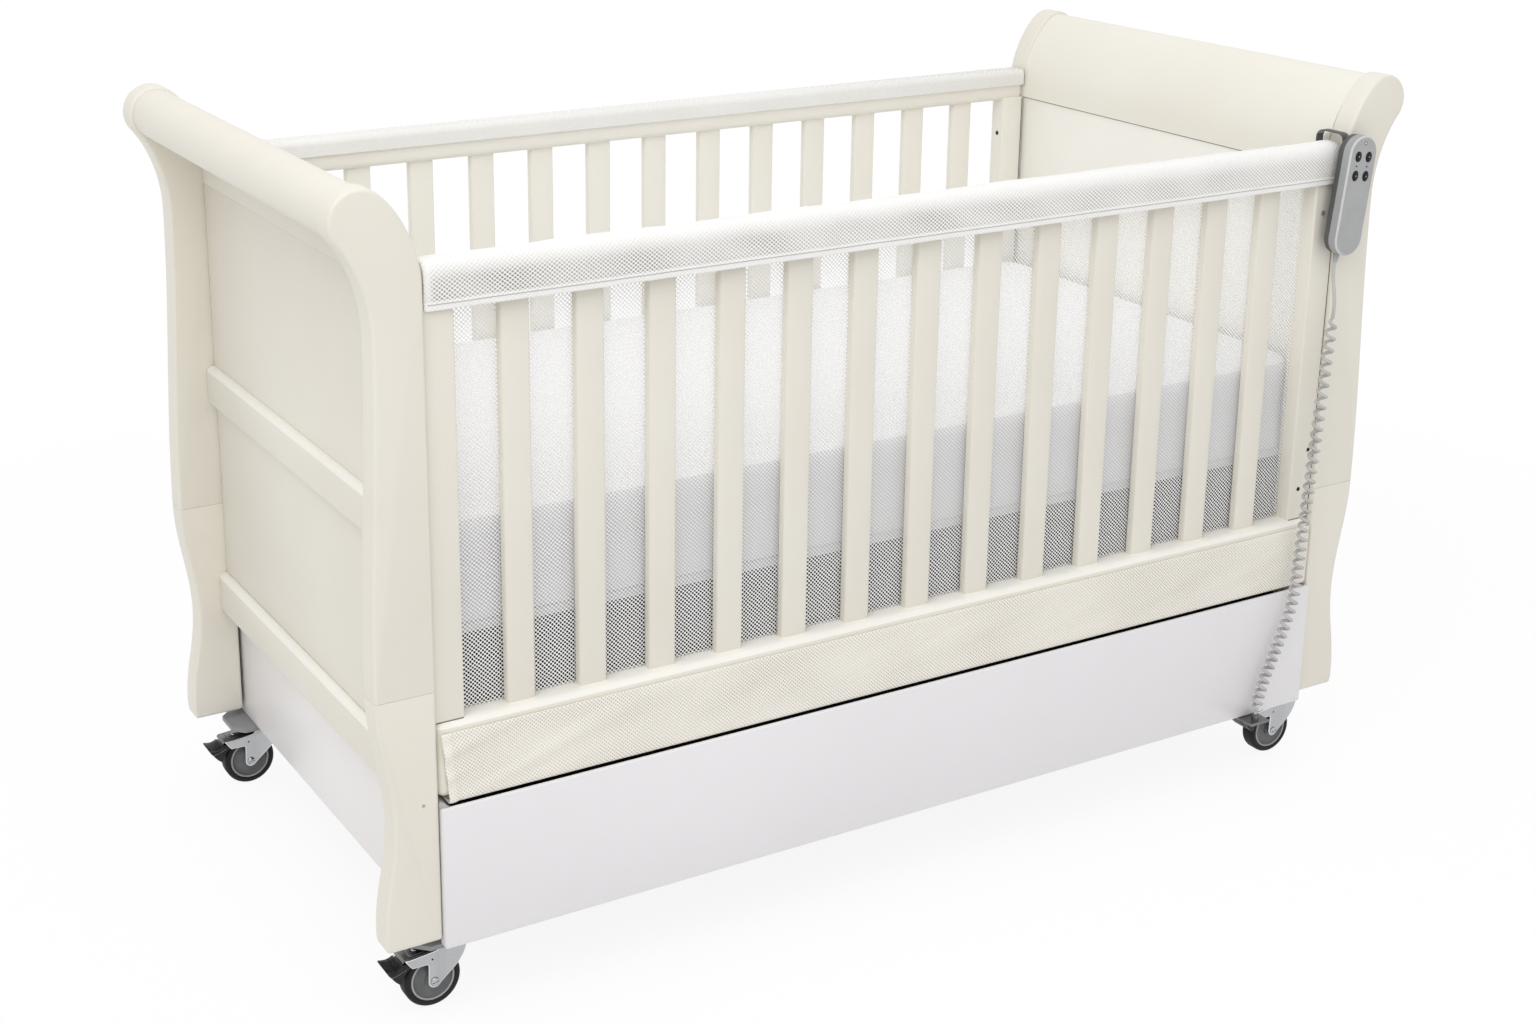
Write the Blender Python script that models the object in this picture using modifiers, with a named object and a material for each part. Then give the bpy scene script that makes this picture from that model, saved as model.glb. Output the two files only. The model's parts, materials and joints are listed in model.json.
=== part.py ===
import math

import bmesh
import bpy
import numpy as np
from mathutils import Matrix, Vector

# Paediatric cot on a castored lifting base. Metres, +Z up, floor at z = 0, front towards -Y.

# Shared fits
TOUCH = 0.0003
SLIDE_FIT = 0.0005
REVEAL = 0.0012

# Overall plan, and the S-shaped posts measured out from their straight inner edge
HALF_LENGTH = 0.700
HALF_WIDTH = 0.380
POST_THICK = 0.036
HEAD_R = 0.037
HEAD_REACH = 0.071
NECK_REACH = 0.062
SEAM_REACH = 0.076
WAIST_REACH = 0.057
FOOT_REACH = 0.073
EDGE_ROUND = 0.006

# Heights of the posts
FOOT_Z = 0.110
BULGE_UP = 0.032
WAIST_UP = 0.160
LEG_TALL = 0.327
HEAD_UP = 0.568
NECK_DOWN = 0.135
CURVE_DOWN = 0.080

# End panels, crests and rails
PANEL_SET_IN = 0.003
PANEL_THICK = 0.010
CREST_DOWN = 0.100
CREST_STEP_DOWN = 0.055
CREST_THICK = 0.036
CREST_SET_IN = 0.001
ROLL_INSET = 0.004
RAIL_PROUD = 0.012
RAIL_SOFT = 0.009
MID_RAIL_UP = 0.153
MID_RAIL_TALL = 0.054
LOW_RAIL_DOWN = 0.162
LOW_RAIL_TALL = 0.057

# Slatted sides
SIDE_SET_BACK = 0.024
SIDE_OVER_BOX = 0.0085
LOW_SIDE_TALL = 0.0965
LOW_SIDE_THICK = 0.044
TOP_SIDE_DOWN = 0.0575
TOP_SIDE_TALL = 0.046
TOP_SIDE_THICK = 0.030
STILE_WIDE = 0.040
STILE_THICK = 0.030
SLAT_COUNT = 13
SLAT_WIDE = 0.037
SLAT_THICK = 0.014
BITE = 0.006
CAP_HIGH = 0.022
CAP_WALL = 0.004

# Fabric on the front side
COVER_THICK = 0.004
COVER_HANG = 0.008
COVER_SHORT = 0.002
WRAP_THICK = 0.003
WRAP_DOWN = 0.011
WRAP_LIP = 0.003
LINER_THICK = 0.002

# Base box and chassis
BOX_END_CLEAR = 0.004
BOX_PROUD = 0.008
BOARD_THICK = 0.018
BOARD_LIP = 0.006
BOARD_SOFT = 0.0015
BOARD_TALL = 0.1867
CHASSIS_SET_IN = 0.070
CHASSIS_TUBE = (0.040, 0.040)
CROSS_WIDE = 0.110
CROSS_UP = 0.0247
PLATE_THICK = 0.006
PLATE_WIDE = 0.074
PLATE_REACH = 0.034
PLATE_TAIL = 0.060
PLATE_CUT = 0.016

# Lifting columns and lift frame
COLUMN_SET_IN = 0.250
COLUMN_OUTER = 0.090
COLUMN_WALL = 0.004
COLUMN_BELOW_BOX = 0.007
STAGE_STEP_Z = 0.005
BEAM_UP = 0.005
BEAM_HIGH = 0.035
BEAM_WIDE = 0.100
SPINE_WIDE = 0.080
JACK_X = 0.220
JACK_OUTER_R = 0.024
JACK_ROD_R = 0.014
JACK_BELOW_BEAM = 0.1405
JACK_ABOVE_BEAM = 0.0265
JACK_FLOOR = 0.004
ROD_SPARE = 0.092
LIFT_COVER_THICK = 0.003
LIFT_COVER_SHORT = 0.008
CONTROL_BOX = (0.140, 0.110, 0.060)
CONTROL_CLEAR = 0.070

# Mattress deck and mattress
DECK_UP = 0.088
DECK_THICK = 0.015
DECK_CLEAR_X = 0.006
DECK_CLEAR_Y = 0.0117
MATTRESS_SHORT = 0.002
MATTRESS_OVER = 0.003
MATTRESS_THICK = 0.140
MATTRESS_CORNER = 0.045
MATTRESS_SOFT = 0.024
MATTRESS_CROWN = 0.007
MATTRESS_DRAWN = 0.004

# Castors
CASTOR_SET_IN_X = 0.001
CASTOR_SET_IN_Y = 0.035
WHEEL_R = 0.0375
WHEEL_WIDE = 0.024
WHEEL_CLEAR = 0.0087
HUB_R = 0.029
AXLE_R = 0.004
TRAIL = -0.006
CHEEK_THICK = 0.0025
CHEEK_GAP = 0.0025
FORK_HEAD_R = 0.024
FORK_HEAD_THICK = 0.010
PIN_R = 0.006
PIN_DEEP = 0.007
PEDAL_BACK = 0.029
PEDAL_DOWN = 0.0142
PEDAL_BOSS_R = 0.0045
PEDAL_PIN_R = 0.0025
PEDAL_REACH = 0.0315
PEDAL_WIDE = 0.038
PEDAL_WIDE_FROM = 0.0100
WHEEL_STEPS = 24

# Handset
HANDSET_SET_IN = 0.002
HANDSET_DOWN = 0.0703
HANDSET_STAND = 0.004
HANDSET_LEAN = math.radians(6.7)
HANDSET_WIDE = 0.051
HANDSET_TALL = 0.171
SHELL_FRONT = 0.011
SHELL_BACK = 0.014
BUTTON_R = 0.005
BUTTON_LONG = 0.008
BUTTON_PROUD = 0.0014
BUTTON_PITCH = (0.020, 0.027)
BUTTON_FROM_TOP = 0.0295
HOOK_THICK = 0.003
HOOK_WIDE = 0.030
HOOK_DROP = 0.026
HOOK_TAIL = 0.055
HOOK_BITE = 0.004
HOOK_SHIFT = -0.016
RELIEF_R = 0.0045
RELIEF_LONG = 0.012

# Curly cord
CORD_R = 0.0025
COIL_R = 0.0065
CURLS = 42
CURL_POINTS = 9
CURL_TIGHTEN = 0.62
CORD_STAND = 0.0145
CURLS_BELOW_HANDSET = 0.0825
CURLS_ASIDE = 0.017
KNEE_ASIDE = 0.044
KNEE_OVER_BOX = 0.003
GLAND_SET_IN = 0.103
GLAND_THICK = 0.004
GLAND_WIDE = 0.036
GLAND_LIP = 0.012
GLAND_BOSS_R = 0.0055
GLAND_BOSS_TALL = 0.008

# Places that follow from the sizes above
GAP_IN = HALF_WIDTH - POST_THICK
HEAD_X = HALF_LENGTH + HEAD_REACH
NECK_X = HALF_LENGTH + NECK_REACH
SEAM_X = HALF_LENGTH + SEAM_REACH
WAIST_X = HALF_LENGTH + WAIST_REACH
FOOT_X = HALF_LENGTH + FOOT_REACH
BULGE_Z = FOOT_Z + BULGE_UP
WAIST_Z = FOOT_Z + WAIST_UP
SEAM_Z = FOOT_Z + LEG_TALL
HEAD_Z = SEAM_Z + HEAD_UP
NECK_Z = HEAD_Z - NECK_DOWN
CURVE_Z = HEAD_Z - CURVE_DOWN
PANEL_IN = HALF_LENGTH + PANEL_SET_IN
PANEL_OUT = PANEL_IN + PANEL_THICK
CREST_IN = HALF_LENGTH + CREST_SET_IN
CREST_OUT = CREST_IN + CREST_THICK
CREST_Z = HEAD_Z - CREST_DOWN
CREST_STEP_Z = HEAD_Z - CREST_STEP_DOWN
RAIL_OUT = PANEL_OUT + RAIL_PROUD
MID_RAIL_Z = (SEAM_Z + MID_RAIL_UP, SEAM_Z + MID_RAIL_UP + MID_RAIL_TALL)
LOW_RAIL_Z = (SEAM_Z - LOW_RAIL_DOWN, SEAM_Z - LOW_RAIL_DOWN + LOW_RAIL_TALL)

FORK_LOW = 2 * WHEEL_R + WHEEL_CLEAR
FORK_TOP = FORK_LOW + FORK_HEAD_THICK
PLATE_LOW = FORK_TOP + TOUCH
BOARD_LOW = PLATE_LOW + PLATE_THICK + TOUCH
BOARD_Z = (BOARD_LOW, BOARD_LOW + BOARD_TALL)
BOX_HALF_LENGTH = HALF_LENGTH - BOX_END_CLEAR
BOX_FRONT = HALF_WIDTH + BOX_PROUD
INNER_X = BOX_HALF_LENGTH - BOARD_THICK
INNER_Y = BOX_FRONT - BOARD_THICK
CHASSIS_Y = INNER_Y - CHASSIS_SET_IN
CROSS_TOP_Z = BOARD_LOW + CROSS_UP
CASTOR_X = BOX_HALF_LENGTH - CASTOR_SET_IN_X
CASTOR_Y = INNER_Y - CASTOR_SET_IN_Y
PEDAL_PIVOT = (TRAIL - PEDAL_BACK, FORK_LOW - PEDAL_DOWN)

SIDE_PLANE = HALF_WIDTH - SIDE_SET_BACK
LOW_SIDE_Z = (BOARD_Z[1] + SIDE_OVER_BOX, BOARD_Z[1] + SIDE_OVER_BOX + LOW_SIDE_TALL)
TOP_SIDE_Z = (HEAD_Z - TOP_SIDE_DOWN - TOP_SIDE_TALL, HEAD_Z - TOP_SIDE_DOWN)
WRAP_TOP_Z = LOW_SIDE_Z[1] - WRAP_DOWN
COLUMN_X = HALF_LENGTH - COLUMN_SET_IN
COLUMN_TOP_Z = BOARD_Z[1] - COLUMN_BELOW_BOX
BEAM_Z = LOW_SIDE_Z[0] + BEAM_UP
BEAM_TOP = BEAM_Z + BEAM_HIGH
JACK_Z = (BEAM_Z - JACK_BELOW_BEAM, BEAM_TOP + JACK_ABOVE_BEAM)
ROD_FOOT_Z = JACK_Z[0] + JACK_FLOOR + ROD_SPARE
CONTROL_Y = COLUMN_OUTER / 2 + CONTROL_CLEAR + CONTROL_BOX[1] / 2
LINER_IN = SIDE_PLANE - SLAT_THICK / 2 - TOUCH - LINER_THICK
DECK_Z = LOW_SIDE_Z[1] + DECK_UP
DECK_HALF = (HALF_LENGTH - DECK_CLEAR_X, LINER_IN - DECK_CLEAR_Y)
MATTRESS_HALF = (DECK_HALF[0] - MATTRESS_SHORT, DECK_HALF[1] + MATTRESS_OVER)

HANDSET_AT = (HALF_LENGTH - HANDSET_SET_IN, TOP_SIDE_Z[1] + COVER_THICK - HANDSET_DOWN)
HANDSET_BACK_Y = -HALF_WIDTH - HANDSET_STAND
BUTTON_TOP = HANDSET_TALL / 2 - BUTTON_FROM_TOP
CORD_Y = -BOX_FRONT - CORD_STAND
CORD_TOP = (HANDSET_AT[0] - CURLS_ASIDE, HANDSET_AT[1] - HANDSET_TALL / 2 - CURLS_BELOW_HANDSET)
CORD_KNEE = (HANDSET_AT[0] - KNEE_ASIDE, BOARD_Z[1] + KNEE_OVER_BOX)
GLAND_X = HALF_LENGTH - GLAND_SET_IN
GLAND_Z = BOARD_LOW - TOUCH

for old in list(bpy.data.objects):
    bpy.data.objects.remove(old, do_unlink=True)

cot = bpy.data.collections.new("paediatric_cot")
bpy.context.scene.collection.children.link(cot)
cutters = bpy.data.collections.new("cutters")
cutters.hide_render = True
bpy.context.scene.collection.children.link(cutters)


def material(name, colour, roughness, metallic=0.0):
    made = bpy.data.materials.new(name)
    made.use_nodes = True
    shader = made.node_tree.nodes["Principled BSDF"]
    shader.inputs["Base Color"].default_value = (*colour, 1.0)
    shader.inputs["Roughness"].default_value = roughness
    shader.inputs["Metallic"].default_value = metallic
    return made


def frame(name, at, parent=None):
    empty = bpy.data.objects.new(name, None)
    empty.empty_display_size = 0.05
    cot.objects.link(empty)
    empty.parent = parent
    empty.location = at
    return empty


def add(name, mesh, look, parent, at=(0, 0, 0)):
    obj = bpy.data.objects.new(name, mesh)
    if look is None:
        cutters.objects.link(obj)
        obj.hide_render = True
        obj.display_type = "WIRE"
    else:
        cot.objects.link(obj)
        mesh.materials.append(look)
    obj.parent = parent
    obj.location = at
    return obj


def finish(name, bm):
    bmesh.ops.recalc_face_normals(bm, faces=bm.faces[:])
    mesh = bpy.data.meshes.new(name)
    bm.to_mesh(mesh)
    bm.free()
    return mesh


def placed(axis, pair, depth):
    if axis == "X":
        return (depth, pair[0], pair[1])
    if axis == "Y":
        return (pair[0], depth, pair[1])
    return (pair[0], pair[1], depth)


def prism_mesh(name, outline, start, end, axis, keep_sharp=None):
    # An outline swept straight along one axis. Its rim edges carry a bevel weight.
    bm = bmesh.new()
    weight = bm.edges.layers.float.new("bevel_weight_edge")
    rings = []
    for depth in (start, end):
        rings.append([bm.verts.new(placed(axis, pair, depth)) for pair in outline])
    count = len(outline)
    for i in range(count):
        j = (i + 1) % count
        bm.faces.new((rings[0][i], rings[0][j], rings[1][j], rings[1][i]))
    for ring in rings:
        bm.faces.new(ring)
        for i in range(count):
            j = (i + 1) % count
            edge = bm.edges.get((ring[i], ring[j]))
            plain = keep_sharp is not None and keep_sharp(outline[i], outline[j])
            edge[weight] = 0.0 if plain else 1.0
    return finish(name, bm)


def prism(name, outline, start, end, axis, look, parent, at=(0, 0, 0), rounding=0.0, keep_sharp=None):
    mesh = prism_mesh(name, outline, start, end, axis, keep_sharp)
    obj = add(name, mesh, look, parent, at)
    if rounding:
        bevel = obj.modifiers.new("rim", "BEVEL")
        bevel.limit_method = "WEIGHT"
        bevel.width = rounding
        bevel.segments = 2
    return obj


def block(name, low, high, look, parent, at=(0, 0, 0), rounding=0.0, segments=1):
    outline = [(low[0], low[1]), (high[0], low[1]), (high[0], high[1]), (low[0], high[1])]
    mesh = prism_mesh(name, outline, low[2], high[2], "Z")
    obj = add(name, mesh, look, parent, at)
    if rounding:
        bevel = obj.modifiers.new("edges", "BEVEL")
        bevel.limit_method = "ANGLE"
        bevel.width = rounding
        bevel.segments = segments
    return obj


def circle(radius, count, centre=(0.0, 0.0), start=0.0):
    points = []
    for i in range(count):
        angle = start + 2 * math.pi * i / count
        points.append((centre[0] + radius * math.cos(angle), centre[1] + radius * math.sin(angle)))
    return points


def rod(name, radius, start, end, axis, centre, look, parent, count=16, at=(0, 0, 0)):
    return prism(name, circle(radius, count, centre), start, end, axis, look, parent, at)


def tube_mesh(name, outer, wall, low, high):
    bm = bmesh.new()
    loops = []
    for half, level in ((outer / 2, low), (outer / 2, high), (outer / 2 - wall, high),
                        (outer / 2 - wall, low)):
        corners = ((-half, -half), (half, -half), (half, half), (-half, half))
        loops.append([bm.verts.new((x, y, level)) for x, y in corners])
    for k in range(4):
        here = loops[k]
        there = loops[(k + 1) % 4]
        for i in range(4):
            j = (i + 1) % 4
            bm.faces.new((here[i], here[j], there[j], there[i]))
    return finish(name, bm)


def bezier(p0, p1, p2, p3, count):
    points = []
    for i in range(count):
        t = i / count
        u = 1 - t
        a, b, c, d = u**3, 3 * u * u * t, 3 * u * t * t, t**3
        points.append(tuple(a * w + b * x + c * y + d * z for w, x, y, z in zip(p0, p1, p2, p3)))
    return points


def arc(centre, radius, first, last, count):
    points = []
    for i in range(count + 1):
        angle = math.radians(first + (last - first) * i / count)
        points.append((centre[0] + radius * math.cos(angle), centre[1] + radius * math.sin(angle)))
    return points


def rounded_box(half_a, half_b, radius, steps):
    points = []
    for corner, (sign_a, sign_b) in enumerate(((1, 1), (-1, 1), (-1, -1), (1, -1))):
        centre = (sign_a * (half_a - radius), sign_b * (half_b - radius))
        points += arc(centre, radius, 90 * corner, 90 * corner + 90, steps)
    return points


def mirrored(outline, side):
    return [(side * pair[0], pair[1]) for pair in outline]


def group(name, members):
    made = bpy.data.collections.new(name)
    made.hide_render = True
    cutters.children.link(made)
    for member in members:
        cutters.objects.unlink(member)
        made.objects.link(member)
    return made


def boolean(obj, operation, other):
    step = obj.modifiers.new(operation.lower(), "BOOLEAN")
    step.operation = operation
    step.solver = "EXACT"
    if isinstance(other, bpy.types.Collection):
        step.operand_type = "COLLECTION"
        step.collection = other
    else:
        step.object = other


CREAM = material("cream_paint", (0.80, 0.76, 0.66), 0.45)
WHITE = material("white_board", (0.75, 0.74, 0.77), 0.40)
STEEL = material("painted_steel", (0.30, 0.31, 0.33), 0.50, 0.6)
ZINC = material("zinc", (0.60, 0.61, 0.62), 0.30, 0.9)
BLACK = material("black_rubber", (0.02, 0.02, 0.02), 0.60)
HUB_GREY = material("hub_grey", (0.35, 0.36, 0.37), 0.45)
CAP_WHITE = material("white_plastic", (0.85, 0.85, 0.84), 0.35)
FABRIC = material("white_fabric", (0.85, 0.85, 0.86), 0.90)
WRAP = material("cream_fabric", (0.80, 0.77, 0.70), 0.90)
PLY = material("birch_ply", (0.62, 0.48, 0.32), 0.60)
GREY = material("handset_grey", (0.36, 0.37, 0.38), 0.40)
DARK = material("dark_grey", (0.08, 0.085, 0.09), 0.45)
CORD = material("cord_grey", (0.60, 0.60, 0.60), 0.45)

base_frame = frame("base_frame", (0, 0, 0))
cot_frame = frame("cot_frame", (0, 0, 0), base_frame)
deck_frame = frame("deck_frame", (0, 0, 0), cot_frame)

# End frames: S-shaped posts in two lengths, crest with its roll, panel and two rails.
head = (HEAD_X, HEAD_Z)
ON_HEAD = math.radians(50)
OFF_HEAD = math.radians(-40)


def inner_curve(radius, start_x, count):
    touch = (HEAD_X - radius * math.cos(ON_HEAD), HEAD_Z + radius * math.sin(ON_HEAD))
    reach = 0.8 * HEAD_R
    pull = (touch[0] - reach * math.sin(ON_HEAD), touch[1] - reach * math.cos(ON_HEAD))
    return bezier((start_x, CURVE_Z), (start_x, CURVE_Z + 0.56 * CURVE_DOWN), pull, touch, count)


def post_outline():
    low = SEAM_Z + TOUCH / 2
    points = [(HALF_LENGTH, low)]
    points += inner_curve(HEAD_R, HALF_LENGTH, 6)
    points += arc(head, HEAD_R, 180 - math.degrees(ON_HEAD), math.degrees(OFF_HEAD), 9)
    leave = points.pop()
    reach = 0.95 * HEAD_R
    pull = (leave[0] + reach * math.sin(OFF_HEAD), leave[1] - reach * math.cos(OFF_HEAD))
    points += bezier(leave, pull, (NECK_X, NECK_Z + 0.3 * NECK_DOWN), (NECK_X, NECK_Z), 6)
    reach = 0.37 * (NECK_Z - low)
    points += bezier((NECK_X, NECK_Z), (NECK_X, NECK_Z - reach), (SEAM_X, low + reach), (SEAM_X, low), 5)
    points.append((SEAM_X, low))
    return points


def leg_outline():
    high = SEAM_Z - TOUCH / 2
    toe = FOOT_X - 2 * EDGE_ROUND
    points = [(HALF_LENGTH, high), (HALF_LENGTH, FOOT_Z + EDGE_ROUND), (HALF_LENGTH + EDGE_ROUND, FOOT_Z)]
    points.append((toe, FOOT_Z))
    points += bezier((toe + 1.2 * EDGE_ROUND, FOOT_Z + 1.2 * EDGE_ROUND),
                     (FOOT_X, FOOT_Z + 2.5 * EDGE_ROUND),
                     (FOOT_X, BULGE_Z), (FOOT_X, BULGE_Z), 3)
    reach = 0.39 * (WAIST_Z - BULGE_Z)
    points += bezier((FOOT_X, BULGE_Z), (FOOT_X, BULGE_Z + reach), (WAIST_X, WAIST_Z - reach),
                     (WAIST_X, WAIST_Z), 5)
    reach = 0.36 * (high - WAIST_Z)
    points += bezier((WAIST_X, WAIST_Z), (WAIST_X, WAIST_Z + reach), (SEAM_X, high - reach),
                     (SEAM_X, high), 5)
    points.append((SEAM_X, high))
    return points


def crest_outline():
    roll = HEAD_R - ROLL_INSET
    step = PANEL_OUT + TOUCH
    points = [(CREST_IN, CREST_Z)]
    points += inner_curve(roll, CREST_IN, 6)
    points += arc(head, roll, 180 - math.degrees(ON_HEAD), -105, 14)
    under = points.pop()
    points += bezier(under, (under[0] - 0.36 * roll, under[1] - 0.06 * roll),
                     (CREST_OUT, CREST_STEP_Z + 0.42 * roll), (CREST_OUT, CREST_STEP_Z), 4)
    points += [(CREST_OUT, CREST_STEP_Z), (step, CREST_STEP_Z), (step, CREST_Z)]
    return points


def at_seam(first, second):
    return abs(first[1] - SEAM_Z) < 0.001 and abs(second[1] - SEAM_Z) < 0.001


def rail_outline(levels, soft):
    inside = PANEL_OUT + TOUCH
    cut = 0.25 * RAIL_PROUD
    low, high = levels
    points = [(inside, low), (RAIL_OUT - cut, low), (RAIL_OUT, low + cut), (RAIL_OUT, high - soft)]
    points += arc((RAIL_OUT - soft, high - soft), soft, 0, 90, 4)[1:]
    points.append((inside, high))
    return points


for side, hand in ((-1, "left"), (1, "right")):
    for facing, place in ((-1, "front"), (1, "rear")):
        edges = sorted((facing * HALF_WIDTH, facing * GAP_IN))
        prism(f"{hand}_{place}_post", mirrored(post_outline(), side), *edges, "Y", CREAM, cot_frame,
              rounding=EDGE_ROUND, keep_sharp=at_seam)
        prism(f"{hand}_{place}_leg", mirrored(leg_outline(), side), *edges, "Y", CREAM, cot_frame,
              rounding=EDGE_ROUND, keep_sharp=at_seam)
    reach = GAP_IN - TOUCH
    prism(f"{hand}_crest", mirrored(crest_outline(), side), -reach, reach, "Y", CREAM, cot_frame)
    panel = sorted((side * PANEL_IN, side * PANEL_OUT))
    block(f"{hand}_panel", (panel[0], -GAP_IN + REVEAL, LOW_RAIL_Z[0]),
          (panel[1], GAP_IN - REVEAL, CREST_Z - TOUCH), CREAM, cot_frame)
    prism(f"{hand}_mid_rail", mirrored(rail_outline(MID_RAIL_Z, RAIL_SOFT), side), -reach, reach, "Y",
          CREAM,
          cot_frame, rounding=0.002)
    prism(f"{hand}_low_rail", mirrored(rail_outline(LOW_RAIL_Z, RAIL_SOFT), side), -reach, reach, "Y",
          CREAM,
          cot_frame, rounding=0.002)

# Slatted sides, each one glued frame of two rails, two stiles and its slats.
SIDE_HALF = HALF_LENGTH - TOUCH
SLAT_CLEAR = 2 * (SIDE_HALF - STILE_WIDE)
SLAT_GAP = (SLAT_CLEAR - SLAT_COUNT * SLAT_WIDE) / (SLAT_COUNT + 1)

for facing, place in ((-1, "front"), (1, "rear")):
    plane = facing * SIDE_PLANE
    thick = LOW_SIDE_THICK / 2
    side_frame = block(f"{place}_side", (-SIDE_HALF, -thick, LOW_SIDE_Z[0]),
                       (SIDE_HALF, thick, LOW_SIDE_Z[1]),
                       CREAM, cot_frame, (0, plane, 0), 0.004, 2)
    thick = TOP_SIDE_THICK / 2
    pieces = [block(f"{place}_top_rail", (-SIDE_HALF, -thick, TOP_SIDE_Z[0]),
                    (SIDE_HALF, thick, TOP_SIDE_Z[1]),
                    None, cot_frame, (0, plane, 0), 0.010, 2)]
    low = LOW_SIDE_Z[1] - BITE
    high = TOP_SIDE_Z[0] + BITE
    thick = STILE_THICK / 2
    for side, hand in ((-1, "left"), (1, "right")):
        ends = sorted((side * SIDE_HALF, side * (SIDE_HALF - STILE_WIDE)))
        pieces.append(block(f"{place}_{hand}_stile", (ends[0], -thick, low), (ends[1], thick, high), None,
                            cot_frame, (0, plane, 0), 0.002))
    thick = SLAT_THICK / 2
    for k in range(SLAT_COUNT):
        middle = (k - (SLAT_COUNT - 1) / 2) * (SLAT_WIDE + SLAT_GAP)
        pieces.append(block(f"{place}_slat_{k + 1}", (-SLAT_WIDE / 2, -thick, low),
                            (SLAT_WIDE / 2, thick, high),
                            None, cot_frame, (middle, plane, 0), 0.002))
    boolean(side_frame, "UNION", group(f"{place}_side_pieces", pieces))


def shell_outline(half, low, high, wall, soft, lip=0.0):
    # An upside-down U: a skin of even thickness over a rail, with rounded shoulders.
    outer = half + wall
    inner_soft = max(soft - wall, 0.001)
    points = [(outer, low)]
    points += arc((outer - soft, high + wall - soft), soft, 0, 90, 4)
    points += arc((soft - outer, high + wall - soft), soft, 90, 180, 4)
    points += [(-outer, low + lip), (-half, low + lip)]
    points += arc((inner_soft - half, high - inner_soft), inner_soft, 180, 90, 2)
    points += arc((half - inner_soft, high - inner_soft), inner_soft, 90, 0, 2)
    points.append((half, low))
    return points


def shifted(outline, along, flip=False):
    sign = -1 if flip else 1
    return [(along + pair[0], sign * pair[1]) for pair in outline]


COVER_HALF = TOP_SIDE_THICK / 2 + TOUCH
COVER_TOP = TOP_SIDE_Z[1] + TOUCH
COVER_REACH = SIDE_HALF - COVER_SHORT
cover = shifted(shell_outline(COVER_HALF, TOP_SIDE_Z[0] - COVER_HANG, COVER_TOP, COVER_THICK, 0.012),
                -SIDE_PLANE)
prism("top_rail_cover", cover, -COVER_REACH, COVER_REACH, "X", FABRIC, cot_frame)
cap = shifted(shell_outline(COVER_HALF, TOP_SIDE_Z[1] - CAP_HIGH, COVER_TOP, CAP_WALL, 0.010), SIDE_PLANE)
prism("rear_rail_cap", cap, -COVER_REACH, COVER_REACH, "X", CAP_WHITE, cot_frame)

wrap_in = LOW_SIDE_THICK / 2 + TOUCH
wrap_low = LOW_SIDE_Z[0] - TOUCH
wrap = [(-wrap_in, WRAP_TOP_Z), (-wrap_in - WRAP_THICK, WRAP_TOP_Z - 0.002)]
wrap += arc((-wrap_in + 0.003, wrap_low + 0.003), 0.003 + WRAP_THICK, 180, 270, 3)
wrap += arc((wrap_in - 0.003, wrap_low + 0.003), 0.003 + WRAP_THICK, 270, 360, 3)
wrap += [(wrap_in + WRAP_THICK, wrap_low + WRAP_LIP + 0.0005), (wrap_in, wrap_low + WRAP_LIP + 0.0005)]
wrap += [(wrap_in, wrap_low), (-wrap_in, wrap_low)]
prism("bottom_rail_cover", shifted(wrap, -SIDE_PLANE), -COVER_REACH, COVER_REACH, "X", WRAP, cot_frame)

liner_out = -SIDE_PLANE + SLAT_THICK / 2 + TOUCH
liner_half = SIDE_HALF - STILE_WIDE - TOUCH
block("mesh_liner", (-liner_half, liner_out, LOW_SIDE_Z[1] + TOUCH),
      (liner_half, liner_out + LINER_THICK, TOP_SIDE_Z[0] - TOUCH), FABRIC, cot_frame)

def board_outline(outer, inner):
    # A board on edge: soft outer corners, and a top that slopes down and in behind a narrow lip.
    soft = BOARD_SOFT
    lip = outer - BOARD_LIP
    low, high = BOARD_Z
    return [(outer - soft, low), (outer, low + soft), (outer, high - soft), (outer - soft, high), (lip, high),
            (inner, high - (lip - inner)), (inner, low)]


# Base box: four boards round a steel chassis with castor plates and king pins.
for facing, place in ((-1, "front"), (1, "rear")):
    prism(f"base_{place}_board", mirrored(board_outline(BOX_FRONT, INNER_Y), facing), -BOX_HALF_LENGTH,
          BOX_HALF_LENGTH, "X", WHITE, base_frame)
for side, hand in ((-1, "left"), (1, "right")):
    prism(f"base_{hand}_board", mirrored(board_outline(BOX_HALF_LENGTH, INNER_X), side), -INNER_Y + TOUCH,
          INNER_Y - TOUCH, "Y", WHITE, base_frame)

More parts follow.
